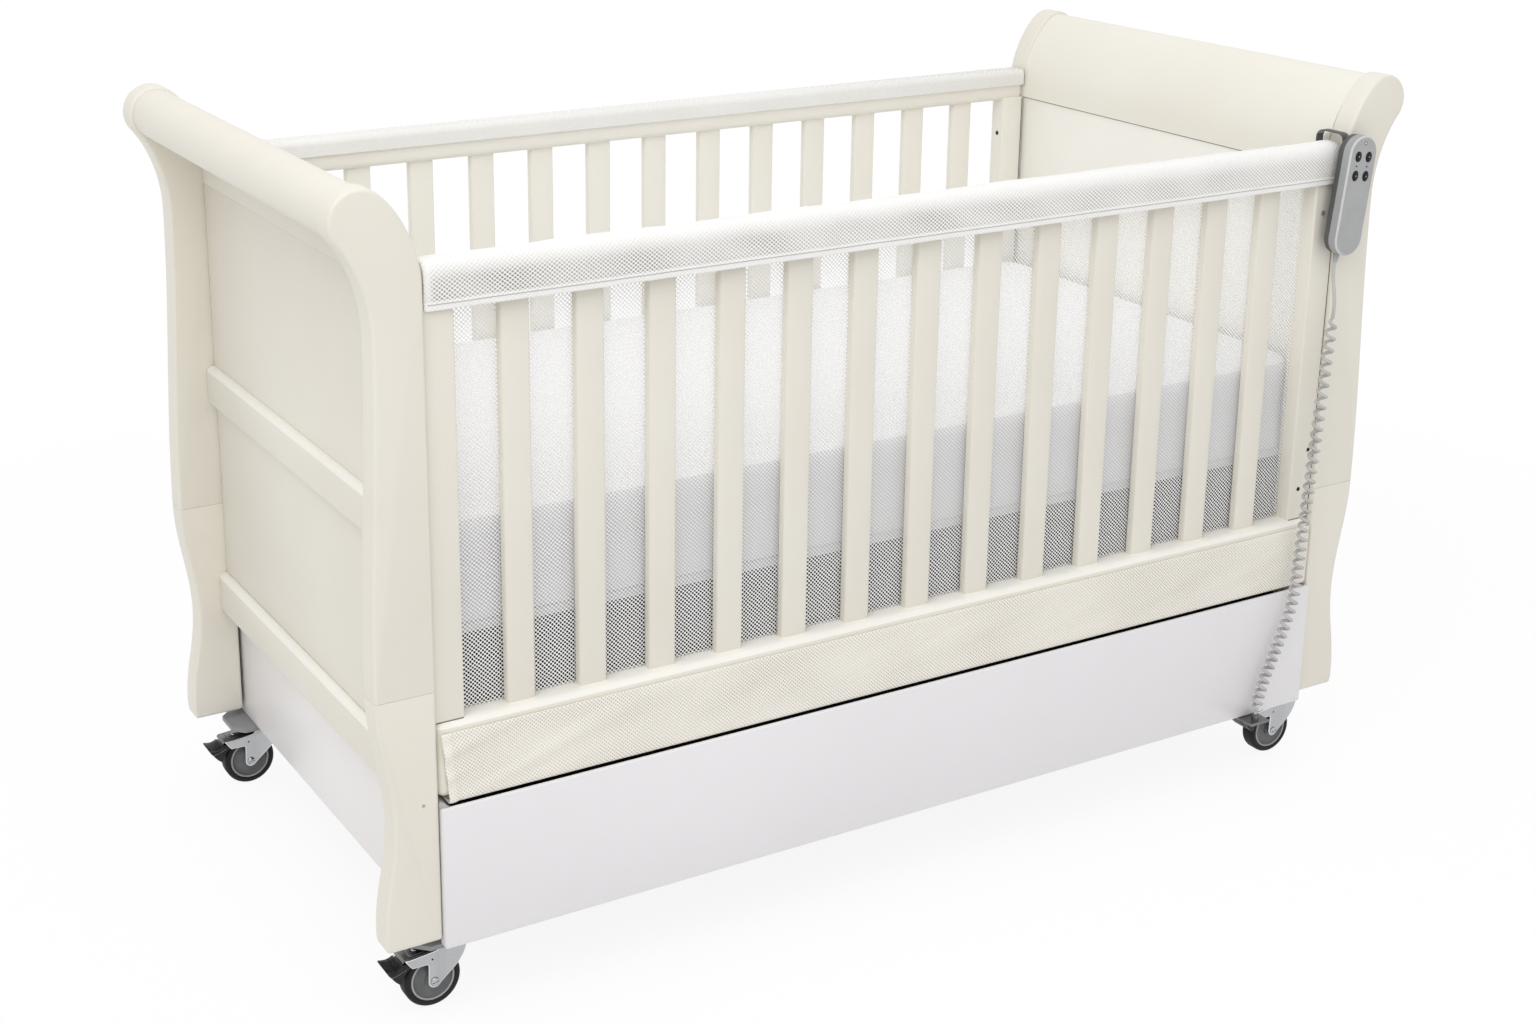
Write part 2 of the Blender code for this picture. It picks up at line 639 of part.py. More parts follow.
rail_low = PLATE_LOW + PLATE_THICK - 0.001
rail_high = rail_low + CHASSIS_TUBE[1]
rail_end = INNER_X - TOUCH
wide = CHASSIS_TUBE[0] / 2
chassis = block("base_chassis", (-rail_end, -CHASSIS_Y - wide, rail_low),
                (rail_end, -CHASSIS_Y + wide, rail_high),
                STEEL, base_frame)
pieces = [block("rear_chassis_rail", (-rail_end, CHASSIS_Y - wide, rail_low),
                (rail_end, CHASSIS_Y + wide, rail_high),
                None, base_frame)]
for side, hand in ((-1, "left"), (1, "right")):
    pieces.append(block(f"{hand}_cross_member", (-CROSS_WIDE / 2, -CHASSIS_Y, rail_low + 0.001),
                        (CROSS_WIDE / 2, CHASSIS_Y, CROSS_TOP_Z), None, base_frame,
                        (side * COLUMN_X, 0, 0)))
    for facing, place in ((-1, "front"), (1, "rear")):
        at = (side * CASTOR_X, facing * CASTOR_Y, 0)
        half = PLATE_WIDE / 2
        outline = [(-side * PLATE_TAIL, -half), (-side * PLATE_TAIL, half)]
        outline += [(side * (PLATE_REACH - PLATE_CUT), half), (side * PLATE_REACH, half - PLATE_CUT)]
        outline += [(side * PLATE_REACH, PLATE_CUT - half), (side * (PLATE_REACH - PLATE_CUT), -half)]
        pieces.append(prism(f"{hand}_{place}_plate", outline, PLATE_LOW, PLATE_LOW + PLATE_THICK, "Z", None,
                            base_frame, at))
        pieces.append(rod(f"{hand}_{place}_pin", PIN_R, PLATE_LOW - PIN_DEEP, PLATE_LOW + 0.001, "Z",
                          (0, 0), None,
                          base_frame, 12, at))
boolean(chassis, "UNION", group("chassis_pieces", pieces))

# Three-stage lifting columns. The innermost tubes belong to the lift frame.
MIDDLE_OUTER = COLUMN_OUTER - 2 * COLUMN_WALL - 2 * SLIDE_FIT
INNER_OUTER = MIDDLE_OUTER - 2 * COLUMN_WALL - 2 * SLIDE_FIT
column_low = CROSS_TOP_Z + TOUCH
for side, hand in ((-1, "left"), (1, "right")):
    at = (side * COLUMN_X, 0, 0)
    mesh = tube_mesh(f"{hand}_column_outer", COLUMN_OUTER, COLUMN_WALL, column_low, COLUMN_TOP_Z)
    add(f"{hand}_column_outer", mesh, STEEL, base_frame, at)
    mesh = tube_mesh(f"{hand}_column_middle", MIDDLE_OUTER, COLUMN_WALL, column_low + STAGE_STEP_Z,
                     COLUMN_TOP_Z + STAGE_STEP_Z)
    stage = frame(f"{hand}_stage", at, base_frame)
    add(f"{hand}_column_middle", mesh, ZINC, stage)

control_low = CROSS_TOP_Z + TOUCH
block("control_box", (-CONTROL_BOX[0] / 2, -CONTROL_BOX[1] / 2, control_low),
      (CONTROL_BOX[0] / 2, CONTROL_BOX[1] / 2, control_low + CONTROL_BOX[2]), DARK, base_frame,
      (COLUMN_X, CONTROL_Y, 0), 0.004)

beam_reach = SIDE_PLANE - LOW_SIDE_THICK / 2 - TOUCH
lift = block("lift_frame", (-COLUMN_X, -SPINE_WIDE / 2, BEAM_Z), (COLUMN_X, SPINE_WIDE / 2, BEAM_TOP),
             STEEL, cot_frame)
pieces = []
bores = []
for side, hand in ((-1, "left"), (1, "right")):
    at = (side * COLUMN_X, 0, 0)
    pieces.append(block(f"{hand}_beam", (-BEAM_WIDE / 2, -beam_reach, BEAM_Z),
                        (BEAM_WIDE / 2, beam_reach, BEAM_TOP),
                        None, cot_frame, at))
    mesh = tube_mesh(f"{hand}_inner_tube", INNER_OUTER, COLUMN_WALL, column_low + 2 * STAGE_STEP_Z,
                     BEAM_Z + 0.002)
    pieces.append(add(f"{hand}_inner_tube", mesh, None, cot_frame, at))
    at = (side * JACK_X, 0, 0)
    pieces.append(rod(f"{hand}_jack_tube", JACK_OUTER_R, *JACK_Z, "Z", (0, 0), None, cot_frame, 20, at))
    bores.append(rod(f"{hand}_jack_bore", JACK_ROD_R + SLIDE_FIT, JACK_Z[0] + JACK_FLOOR,
                     JACK_Z[1] + JACK_FLOOR, "Z", (0, 0),
                     None, cot_frame, 20, at))
cover_reach = HALF_LENGTH - LIFT_COVER_SHORT
pieces.append(block("lift_cover", (-cover_reach, -beam_reach + 0.001, BEAM_TOP - 0.001),
                    (cover_reach, beam_reach - 0.001, BEAM_TOP + LIFT_COVER_THICK - 0.001), None, cot_frame))
boolean(lift, "UNION", group("lift_pieces", pieces))
boolean(lift, "DIFFERENCE", group("lift_bores", bores))

# Mattress deck carried by two jack rods.
deck_high = DECK_Z + DECK_THICK
deck = block("mattress_deck", (-DECK_HALF[0], -DECK_HALF[1], DECK_Z),
             (DECK_HALF[0], DECK_HALF[1], deck_high), PLY,
             deck_frame, rounding=0.003)
pieces = []
for side, hand in ((-1, "left"), (1, "right")):
    pieces.append(rod(f"{hand}_jack_rod", JACK_ROD_R, ROD_FOOT_Z, DECK_Z + 0.004, "Z", (0, 0), None,
                      deck_frame, 20,
                      (side * JACK_X, 0, 0)))
boolean(deck, "UNION", group("deck_pieces", pieces))


def mattress_mesh():
    # Rings of a rounded rectangle from the bottom edge up the drawn-in side and over the crown.
    low = deck_high + TOUCH
    high = low + MATTRESS_THICK
    soft = MATTRESS_SOFT
    half = (high - low) / 2
    rings = [(soft, low)]
    for k in range(1, 4):
        angle = math.radians(30 * k)
        rings.append((soft * (1 - math.sin(angle)), low + soft * (1 - math.cos(angle))))
    rings.append((MATTRESS_DRAWN / 2, low + 0.75 * half))
    rings.append((MATTRESS_DRAWN, low + half))
    rings.append((MATTRESS_DRAWN / 2, low + 1.25 * half))
    for k in range(3, 0, -1):
        angle = math.radians(30 * k)
        rings.append((soft * (1 - math.sin(angle)), high - soft * (1 - math.cos(angle)) - MATTRESS_CROWN))
    for inset in (soft, 2.5 * soft, 5 * soft, 9 * soft):
        rise = MATTRESS_CROWN * (1 - math.exp(-(inset - soft) / (2 * soft)))
        rings.append((inset, high - MATTRESS_CROWN + rise))
    bm = bmesh.new()
    loops = []
    for inset, level in rings:
        corner = max(MATTRESS_CORNER - inset, 0.010)
        outline = rounded_box(MATTRESS_HALF[0] - inset, MATTRESS_HALF[1] - inset, corner, 5)
        loops.append([bm.verts.new((x, y, level)) for x, y in outline])
    count = len(loops[0])
    for here, there in zip(loops, loops[1:]):
        for i in range(count):
            j = (i + 1) % count
            bm.faces.new((here[i], here[j], there[j], there[i]))
    bm.faces.new(loops[0])
    bm.faces.new(loops[-1])
    return finish("mattress", bm)


add("mattress", mattress_mesh(), FABRIC, deck_frame)

# Castors. Every frame sits on its swivel, axle or pedal axis.
CHEEK_IN = WHEEL_WIDE / 2 + CHEEK_GAP
CHEEK_OUT = CHEEK_IN + CHEEK_THICK


# Sides of the fork and of its brake housing, measured from the axle.
CHEEK_ARM = ((-0.0075, 0.0253), (-0.0287, 0.0255), (-0.0336, 0.0312), (-0.0376, 0.0372), (-0.0365, 0.0382),
             (-0.0116, 0.0402), (0.0040, 0.0422), (0.0100, 0.0478), (0.0300, 0.0478))
CHEEK_WING = ((0.0425, 0.0470), (0.0443, 0.0380), (0.0395, 0.0270), (0.0312, 0.0162), (0.0242, 0.0090))
HOUSING = ((0.0040, 0.0430), (-0.0350, 0.0400), (-0.0405, 0.0375), (-0.0410, 0.0350), (-0.0395, 0.0350),
           (-0.0385, 0.0368), (-0.0340, 0.0378), (0.0040, 0.0405))


def from_axle(points):
    return [(TRAIL + x, WHEEL_R + z) for x, z in points]


def cheek_outline():
    points = from_axle(CHEEK_ARM + CHEEK_WING)
    points += arc((TRAIL, WHEEL_R), 0.0085, -40, -175, 6)
    return points


def lathe(name, profile, look, parent):
    # A closed profile of (radius, along) turned about the Y axis.
    bm = bmesh.new()
    verts = [bm.verts.new((radius, along, 0)) for radius, along in profile]
    for i in range(len(verts)):
        bm.edges.new((verts[i], verts[(i + 1) % len(verts)]))
    mesh = bpy.data.meshes.new(name)
    bm.to_mesh(mesh)
    bm.free()
    obj = add(name, mesh, look, parent)
    turn = obj.modifiers.new("turn", "SCREW")
    turn.axis = "Y"
    turn.steps = WHEEL_STEPS
    turn.render_steps = WHEEL_STEPS
    turn.use_merge_vertices = True
    turn.merge_threshold = 0.00001
    turn.use_normal_flip = True
    return obj


half = WHEEL_WIDE / 2
HUB_PROFILE = [(AXLE_R + TOUCH, -half), (0.009, -half), (0.013, -half + 0.005),
               (HUB_R - 0.005, -half + 0.004),
               (HUB_R, -half + 0.001), (HUB_R, half - 0.001), (HUB_R - 0.005, half - 0.004),
               (0.013, half - 0.005), (0.009, half), (AXLE_R + TOUCH, half)]
TYRE_PROFILE = [(HUB_R + TOUCH, -half + 0.001), (WHEEL_R - 0.005, -half), (WHEEL_R - 0.001, -half + 0.004),
                (WHEEL_R, -half + 0.008), (WHEEL_R, half - 0.008), (WHEEL_R - 0.001, half - 0.004),
                (WHEEL_R - 0.005, half), (HUB_R + TOUCH, half - 0.001)]


def pedal_outline(reach):
    # Side view from the pivot, as shares of the reach: a lip that points out, and a lobe that points down.
    shares = ((-0.03, 0.095), (-0.19, 0.04), (-0.32, -0.02), (-0.51, -0.145), (-0.76, -0.16), (-0.94, -0.12),
              (-1.00, -0.16), (-0.98, -0.22), (-0.86, -0.365), (-0.73, -0.545), (-0.555, -0.685),
              (-0.49, -0.715), (-0.41, -0.65), (-0.275, -0.475), (-0.095, -0.255), (-0.015, -0.095))
    return [(x * reach, z * reach) for x, z in shares]


for side, facing, corner in ((-1, -1, "front_left"), (1, -1, "front_right"), (-1, 1, "rear_left"),
                             (1, 1, "rear_right")):
    swivel = frame(f"{corner}_swivel", (side * CASTOR_X, facing * CASTOR_Y, 0), base_frame)
    fork = rod(f"{corner}_fork", FORK_HEAD_R, FORK_LOW, FORK_TOP, "Z", (0, 0), ZINC, swivel, 24)
    pieces = []
    for flank, label in ((-1, "near"), (1, "far")):
        ends = sorted((flank * CHEEK_IN, flank * CHEEK_OUT))
        pieces.append(prism(f"{corner}_{label}_cheek", cheek_outline(), *ends, "Y", None, swivel))
        ends = sorted((flank * (CHEEK_OUT - 0.001), flank * (CHEEK_OUT + 0.0035)))
        pieces.append(rod(f"{corner}_{label}_bolt_head", 0.0065, *ends, "Y", (TRAIL, WHEEL_R), None,
                          swivel, 6))
    pieces.append(rod(f"{corner}_axle", AXLE_R, -CHEEK_OUT + 0.001, CHEEK_OUT - 0.001, "Y",
                      (TRAIL, WHEEL_R), None,
                      swivel, 12))
    pieces.append(rod(f"{corner}_pedal_pin", PEDAL_PIN_R, -CHEEK_OUT + 0.001, CHEEK_OUT - 0.001, "Y",
                      PEDAL_PIVOT, None,
                      swivel, 10))
    pieces.append(prism(f"{corner}_housing", from_axle(HOUSING), -CHEEK_OUT + 0.0005, CHEEK_OUT - 0.0005, "Y",
                        None, swivel))
    boolean(fork, "UNION", group(f"{corner}_fork_pieces", pieces))
    boolean(fork, "DIFFERENCE", rod(f"{corner}_pin_bore", PIN_R + TOUCH, PLATE_LOW - PIN_DEEP - TOUCH,
                                    FORK_TOP + 0.005,
                                    "Z", (0, 0), None, swivel, 12))
    axle = frame(f"{corner}_wheel", (TRAIL, 0, WHEEL_R), swivel)
    lathe(f"{corner}_hub", HUB_PROFILE, HUB_GREY, axle)
    lathe(f"{corner}_tyre", TYRE_PROFILE, BLACK, axle)
    pivot = frame(f"{corner}_brake", (PEDAL_PIVOT[0], 0, PEDAL_PIVOT[1]), swivel)
    boss_half = CHEEK_IN - TOUCH
    pedal = rod(f"{corner}_pedal", PEDAL_BOSS_R, -boss_half, boss_half, "Y", (0, 0), BLACK, pivot, 14)
    blade = prism(f"{corner}_blade", pedal_outline(PEDAL_REACH), -PEDAL_WIDE / 2, PEDAL_WIDE / 2, "Y",
                  None, pivot)
    neck = prism(f"{corner}_blade_neck", pedal_outline(0.97 * PEDAL_REACH), -boss_half, boss_half, "Y",
                 None, pivot)
    clear = block(f"{corner}_blade_clear", (-PEDAL_WIDE_FROM, -PEDAL_WIDE, -PEDAL_REACH),
                  (PEDAL_REACH, PEDAL_WIDE, PEDAL_REACH), None, pivot)
    boolean(blade, "DIFFERENCE", clear)
    boolean(pedal, "UNION", group(f"{corner}_pedal_pieces", [blade, neck]))
    boolean(pedal, "DIFFERENCE", rod(f"{corner}_pedal_bore", PEDAL_PIN_R + TOUCH, -boss_half - 0.005,
                                     boss_half + 0.005, "Y",
                                     (0, 0), None, pivot, 10))

# Handset leaning on its hook over the right end of the front top rail.
handset = frame("handset", (HANDSET_AT[0], 0, HANDSET_AT[1]), cot_frame)
handset.rotation_euler = (0, HANDSET_LEAN, 0)
plan = rounded_box(HANDSET_WIDE / 2, HANDSET_TALL / 2, HANDSET_WIDE / 2 - 0.0005, 7)
back_front = HANDSET_BACK_Y - SHELL_BACK
front_back = back_front - TOUCH
front_face = front_back - SHELL_FRONT
front_shell = prism("handset_front", plan, front_face, front_back, "Y", GREY, handset)
rim = front_shell.modifiers.new("rim", "BEVEL")
rim.limit_method = "WEIGHT"
rim.width = 0.003
rim.segments = 2
rear_edge = front_shell.data.attributes["bevel_weight_edge"]
for edge in front_shell.data.edges:
    ends = [front_shell.data.vertices[v].co.y for v in edge.vertices]
    if min(ends) > front_face + 0.001:
        rear_edge.data[edge.index].value = 0.0

holes = []
for row in range(2):
    for column in range(2):
        name = f"button_{('up', 'down')[row]}_{('lift', 'deck')[column]}"
        spot = ((column - 0.5) * BUTTON_PITCH[0], BUTTON_TOP - row * BUTTON_PITCH[1])
        seat = frame(f"{name}_axis", (spot[0], front_face, spot[1]), handset)
        rod(name, BUTTON_R, -BUTTON_PROUD, BUTTON_LONG - BUTTON_PROUD, "Y", (0, 0), BLACK, seat, 16)
        holes.append(rod(f"{name}_hole", BUTTON_R + TOUCH, -0.005, SHELL_FRONT + 0.005, "Y", (0, 0),
                         None, seat, 16))
boolean(front_shell, "DIFFERENCE", group("button_holes", holes))

back_shell = prism("handset_back", plan, back_front, HANDSET_BACK_Y, "Y", DARK, handset)
relief_low = -HANDSET_TALL / 2 - RELIEF_LONG
relief = rod("strain_relief", RELIEF_R, relief_low, -HANDSET_TALL / 2 + 0.004, "Z",
             (0, (back_front + HANDSET_BACK_Y) / 2), None, handset, 14)
hook_rest = COVER_TOP + COVER_THICK + TOUCH
hook_back = -SIDE_PLANE + COVER_HALF + COVER_THICK + TOUCH
hook_x = HANDSET_AT[0] + HOOK_SHIFT
hook = [(HANDSET_BACK_Y - HOOK_BITE, hook_rest - HOOK_TAIL),
        (HANDSET_BACK_Y + HOOK_THICK, hook_rest - HOOK_TAIL)]
hook += [(HANDSET_BACK_Y + HOOK_THICK, hook_rest), (hook_back, hook_rest),
         (hook_back, hook_rest - HOOK_DROP)]
hook += [(hook_back + HOOK_THICK, hook_rest - HOOK_DROP), (hook_back + HOOK_THICK, hook_rest + HOOK_THICK)]
hook += [(HANDSET_BACK_Y - HOOK_BITE, hook_rest + HOOK_THICK)]
strap = prism("hook_strap", hook, hook_x - HOOK_WIDE / 2, hook_x + HOOK_WIDE / 2, "X", None, cot_frame)
boolean(back_shell, "UNION", group("handset_back_pieces", [relief, strap]))

# Cord: a straight lead from the handset, then the curls down to a gland under the base board.
gland = block("cord_gland", (-GLAND_WIDE / 2, CORD_Y - GLAND_LIP, GLAND_Z - GLAND_THICK),
              (GLAND_WIDE / 2, -INNER_Y, GLAND_Z), DARK, base_frame, (GLAND_X, 0, 0), 0.001)
boss_top = GLAND_Z + GLAND_BOSS_TALL
boss = rod("gland_boss", GLAND_BOSS_R, GLAND_Z - 0.001, boss_top, "Z", (GLAND_X, CORD_Y), None,
           base_frame, 14)
boolean(gland, "UNION", group("gland_pieces", [boss]))


def cord_tube(name, points, parent):
    data = bpy.data.curves.new(name, "CURVE")
    data.dimensions = "3D"
    data.bevel_depth = CORD_R
    data.bevel_resolution = 1
    data.use_fill_caps = True
    spline = data.splines.new("POLY")
    spline.points.add(len(points) - 1)
    for point, spot in zip(spline.points, points):
        point.co = (*spot, 1.0)
    data.materials.append(CORD)
    obj = bpy.data.objects.new(name, data)
    cot.objects.link(obj)
    obj.parent = parent
    return obj


lean = Matrix.Rotation(HANDSET_LEAN, 3, "Y")
relief_end = lean @ Vector((0, (back_front + HANDSET_BACK_Y) / 2, relief_low - TOUCH))
relief_end += Vector((HANDSET_AT[0], 0, HANDSET_AT[1]))
relief_out = lean @ Vector((0, 0, -1))
cord_top = Vector((CORD_TOP[0], CORD_Y, CORD_TOP[1]))
cord_knee = Vector((CORD_KNEE[0], CORD_Y, CORD_KNEE[1]))
cord_low = Vector((GLAND_X, CORD_Y, boss_top + TOUCH))
top_dir = (cord_knee - cord_top).normalized()
lead_points = [relief_end]
lead_points += [Vector(p) for p in bezier(relief_end + relief_out * 2 * CORD_R,
                                          relief_end + relief_out * 0.025,
                                          cord_top - top_dir * 0.025, cord_top - top_dir * 2 * CORD_R, 8)]
lead_points += [cord_top - top_dir * 2 * CORD_R, cord_top]
cord_tube("cord_lead", [p - Vector((HANDSET_AT[0], 0, HANDSET_AT[1])) for p in lead_points], None)
lead = bpy.data.objects["cord_lead"]
lead.location = (HANDSET_AT[0], 0, HANDSET_AT[1])

# The coil's centre line: a slanting fall past the knee, turning upright over the gland.
DOWN = Vector((0, 0, -1))
start = cord_top + top_dir * TOUCH
fall = (cord_knee - cord_top).length
bend = Vector((-0.01, 0, -0.12)) * fall
line = [Vector(p) for p in bezier(start + top_dir * 2 * CORD_R, start + top_dir * 0.47 * fall,
                                  cord_knee - bend,
                                  cord_knee, 40)]
line += [Vector(p) for p in bezier(cord_knee, cord_knee + bend, cord_low - DOWN * 0.11 * fall,
                                   cord_low - DOWN * 2 * CORD_R, 20)]
line.append(cord_low - DOWN * 2 * CORD_R)
steps = [(b - a).length for a, b in zip(line, line[1:])]
travel = np.concatenate([[0.0], np.cumsum(steps)])
path = np.array([tuple(p) for p in line])


def on_line(distance):
    return Vector([float(np.interp(distance, travel, path[:, k])) for k in range(3)])


first_pitch = 2 * travel[-1] / (CURLS * (1 + CURL_TIGHTEN))
last_pitch = first_pitch * CURL_TIGHTEN
curl_points = [start]
across = Vector((0, 1, 0))
total = CURLS * CURL_POINTS
for k in range(total + 1):
    turn_at = k / CURL_POINTS
    distance = turn_at * first_pitch + (last_pitch - first_pitch) * turn_at**2 / (2 * CURLS)
    here = on_line(distance)
    ahead = on_line(min(distance + 0.002, travel[-1])) - on_line(max(distance - 0.002, 0.0))
    sideways = ahead.normalized().cross(across)
    ramp = min(1.0, turn_at, CURLS - turn_at)
    angle = 2 * math.pi * turn_at
    curl_points.append(here + (sideways * math.cos(angle) + across * math.sin(angle)) * (COIL_R * ramp))
curl_points.append(cord_low)
cord_tube("cord_curls", curl_points, None)

spots = np.array([tuple(p) for p in curl_points])
apart = np.linalg.norm(spots[:, None] - spots[None], axis=2)
near = np.abs(np.subtract.outer(np.arange(len(spots)), np.arange(len(spots)))) < CURL_POINTS // 2 + 1
apart[near] = 1.0
print(f"cord: {CURLS} curls, least gap between turns {1000 * (apart.min() - 2 * CORD_R):.2f} mm")
print(f"cord: length {sum(np.linalg.norm(np.diff(spots, axis=0), axis=1)):.3f} m along the curls")
print(f"slats: {SLAT_COUNT} a side, gap {1000 * SLAT_GAP:.1f} mm")
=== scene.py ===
import json
import math

import bmesh
import bpy
from mathutils import Matrix, Vector, noise
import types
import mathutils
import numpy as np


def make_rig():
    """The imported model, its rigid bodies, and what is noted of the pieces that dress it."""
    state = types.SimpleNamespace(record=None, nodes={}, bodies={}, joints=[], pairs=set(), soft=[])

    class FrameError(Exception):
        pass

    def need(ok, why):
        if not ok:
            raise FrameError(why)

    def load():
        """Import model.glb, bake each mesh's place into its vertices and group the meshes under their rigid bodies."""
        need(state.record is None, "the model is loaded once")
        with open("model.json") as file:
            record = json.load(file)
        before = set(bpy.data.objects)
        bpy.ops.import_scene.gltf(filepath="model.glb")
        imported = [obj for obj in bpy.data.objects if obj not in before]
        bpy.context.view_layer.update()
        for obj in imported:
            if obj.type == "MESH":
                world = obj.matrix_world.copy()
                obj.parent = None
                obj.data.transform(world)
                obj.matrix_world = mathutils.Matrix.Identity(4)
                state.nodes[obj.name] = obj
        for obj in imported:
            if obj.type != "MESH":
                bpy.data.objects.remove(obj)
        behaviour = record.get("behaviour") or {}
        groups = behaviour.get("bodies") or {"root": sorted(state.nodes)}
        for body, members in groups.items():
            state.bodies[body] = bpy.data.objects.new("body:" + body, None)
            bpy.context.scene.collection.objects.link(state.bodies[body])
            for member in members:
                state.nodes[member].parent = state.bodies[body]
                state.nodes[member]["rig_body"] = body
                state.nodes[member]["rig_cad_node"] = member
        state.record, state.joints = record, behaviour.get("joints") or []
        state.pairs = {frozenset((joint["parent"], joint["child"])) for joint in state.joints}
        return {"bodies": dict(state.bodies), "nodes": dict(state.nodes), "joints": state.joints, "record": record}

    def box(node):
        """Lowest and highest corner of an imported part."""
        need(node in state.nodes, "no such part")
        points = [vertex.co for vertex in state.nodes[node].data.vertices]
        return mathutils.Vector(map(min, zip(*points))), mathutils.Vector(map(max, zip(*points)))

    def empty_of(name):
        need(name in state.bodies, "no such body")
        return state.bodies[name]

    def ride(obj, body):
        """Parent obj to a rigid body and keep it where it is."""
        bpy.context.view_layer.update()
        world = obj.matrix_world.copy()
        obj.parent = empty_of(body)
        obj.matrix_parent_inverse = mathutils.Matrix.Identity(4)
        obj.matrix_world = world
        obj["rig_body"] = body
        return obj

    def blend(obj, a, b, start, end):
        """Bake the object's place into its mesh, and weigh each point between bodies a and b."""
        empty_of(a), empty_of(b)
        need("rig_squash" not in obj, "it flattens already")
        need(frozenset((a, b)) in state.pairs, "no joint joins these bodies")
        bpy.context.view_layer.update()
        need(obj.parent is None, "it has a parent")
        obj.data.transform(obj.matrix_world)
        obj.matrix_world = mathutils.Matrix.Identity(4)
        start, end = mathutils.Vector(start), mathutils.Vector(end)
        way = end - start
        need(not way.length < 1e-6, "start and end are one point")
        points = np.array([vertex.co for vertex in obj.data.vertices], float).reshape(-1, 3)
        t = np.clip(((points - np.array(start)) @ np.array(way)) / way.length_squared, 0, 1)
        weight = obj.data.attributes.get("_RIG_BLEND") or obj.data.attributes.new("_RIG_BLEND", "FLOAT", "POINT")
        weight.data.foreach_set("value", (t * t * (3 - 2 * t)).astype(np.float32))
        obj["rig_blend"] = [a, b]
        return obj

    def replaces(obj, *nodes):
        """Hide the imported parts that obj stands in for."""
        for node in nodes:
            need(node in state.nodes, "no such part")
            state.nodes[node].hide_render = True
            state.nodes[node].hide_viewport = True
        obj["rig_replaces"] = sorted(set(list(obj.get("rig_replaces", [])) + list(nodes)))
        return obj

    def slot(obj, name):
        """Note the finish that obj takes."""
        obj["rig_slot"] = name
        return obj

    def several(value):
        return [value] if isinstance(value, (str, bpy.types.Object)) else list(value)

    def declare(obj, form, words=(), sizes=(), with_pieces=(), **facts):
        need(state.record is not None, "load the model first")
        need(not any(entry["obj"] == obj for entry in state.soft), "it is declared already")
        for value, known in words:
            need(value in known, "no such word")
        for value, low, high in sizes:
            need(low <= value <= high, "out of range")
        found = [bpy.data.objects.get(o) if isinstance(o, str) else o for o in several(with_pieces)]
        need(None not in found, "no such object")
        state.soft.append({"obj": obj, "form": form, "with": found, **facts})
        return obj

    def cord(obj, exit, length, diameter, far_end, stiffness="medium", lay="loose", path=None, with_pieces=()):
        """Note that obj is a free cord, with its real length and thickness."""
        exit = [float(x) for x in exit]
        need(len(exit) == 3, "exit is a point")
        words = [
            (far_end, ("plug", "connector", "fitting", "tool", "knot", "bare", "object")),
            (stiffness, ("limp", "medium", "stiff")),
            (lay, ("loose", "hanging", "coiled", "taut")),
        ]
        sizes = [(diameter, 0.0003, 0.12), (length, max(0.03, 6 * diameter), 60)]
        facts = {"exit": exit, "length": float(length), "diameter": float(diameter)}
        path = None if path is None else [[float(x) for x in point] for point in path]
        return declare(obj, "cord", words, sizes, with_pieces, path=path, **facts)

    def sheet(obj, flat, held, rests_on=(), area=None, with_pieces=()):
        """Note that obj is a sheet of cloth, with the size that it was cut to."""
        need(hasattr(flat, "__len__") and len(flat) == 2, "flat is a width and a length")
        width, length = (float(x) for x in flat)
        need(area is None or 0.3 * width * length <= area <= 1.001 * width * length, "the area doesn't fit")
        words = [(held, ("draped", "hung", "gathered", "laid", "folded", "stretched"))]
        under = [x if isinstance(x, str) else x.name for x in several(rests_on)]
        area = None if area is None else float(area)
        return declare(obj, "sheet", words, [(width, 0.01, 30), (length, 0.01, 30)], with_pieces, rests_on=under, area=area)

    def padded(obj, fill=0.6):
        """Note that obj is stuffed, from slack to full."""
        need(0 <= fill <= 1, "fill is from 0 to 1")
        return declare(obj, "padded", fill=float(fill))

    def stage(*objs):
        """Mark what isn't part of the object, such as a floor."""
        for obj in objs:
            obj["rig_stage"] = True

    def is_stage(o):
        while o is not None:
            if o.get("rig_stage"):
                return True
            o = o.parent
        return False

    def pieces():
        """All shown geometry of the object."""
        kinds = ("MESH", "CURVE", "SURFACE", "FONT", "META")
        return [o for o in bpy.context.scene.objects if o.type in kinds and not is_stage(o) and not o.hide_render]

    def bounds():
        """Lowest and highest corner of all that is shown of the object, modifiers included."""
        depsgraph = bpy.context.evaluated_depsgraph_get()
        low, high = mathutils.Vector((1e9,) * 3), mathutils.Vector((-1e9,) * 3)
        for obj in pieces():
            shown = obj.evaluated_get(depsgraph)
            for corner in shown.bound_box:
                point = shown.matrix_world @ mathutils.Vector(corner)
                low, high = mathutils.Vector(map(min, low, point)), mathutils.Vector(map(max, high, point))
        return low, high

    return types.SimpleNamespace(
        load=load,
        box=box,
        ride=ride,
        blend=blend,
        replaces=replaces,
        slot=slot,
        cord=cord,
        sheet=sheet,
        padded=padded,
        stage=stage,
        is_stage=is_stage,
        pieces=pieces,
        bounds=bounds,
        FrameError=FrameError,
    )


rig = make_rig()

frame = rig.load()
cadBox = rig.bounds()
nodes = frame["nodes"]
jointAt = {j["name"]: Vector(j["pos_m"]) for j in frame["joints"] if "pos_m" in j}
hands = ((-1, "left"), (1, "right"))  # the way from the middle to each end
print("frame loaded:", len(nodes), "nodes")

scene = bpy.context.scene
scene.view_settings.view_transform = "Standard"


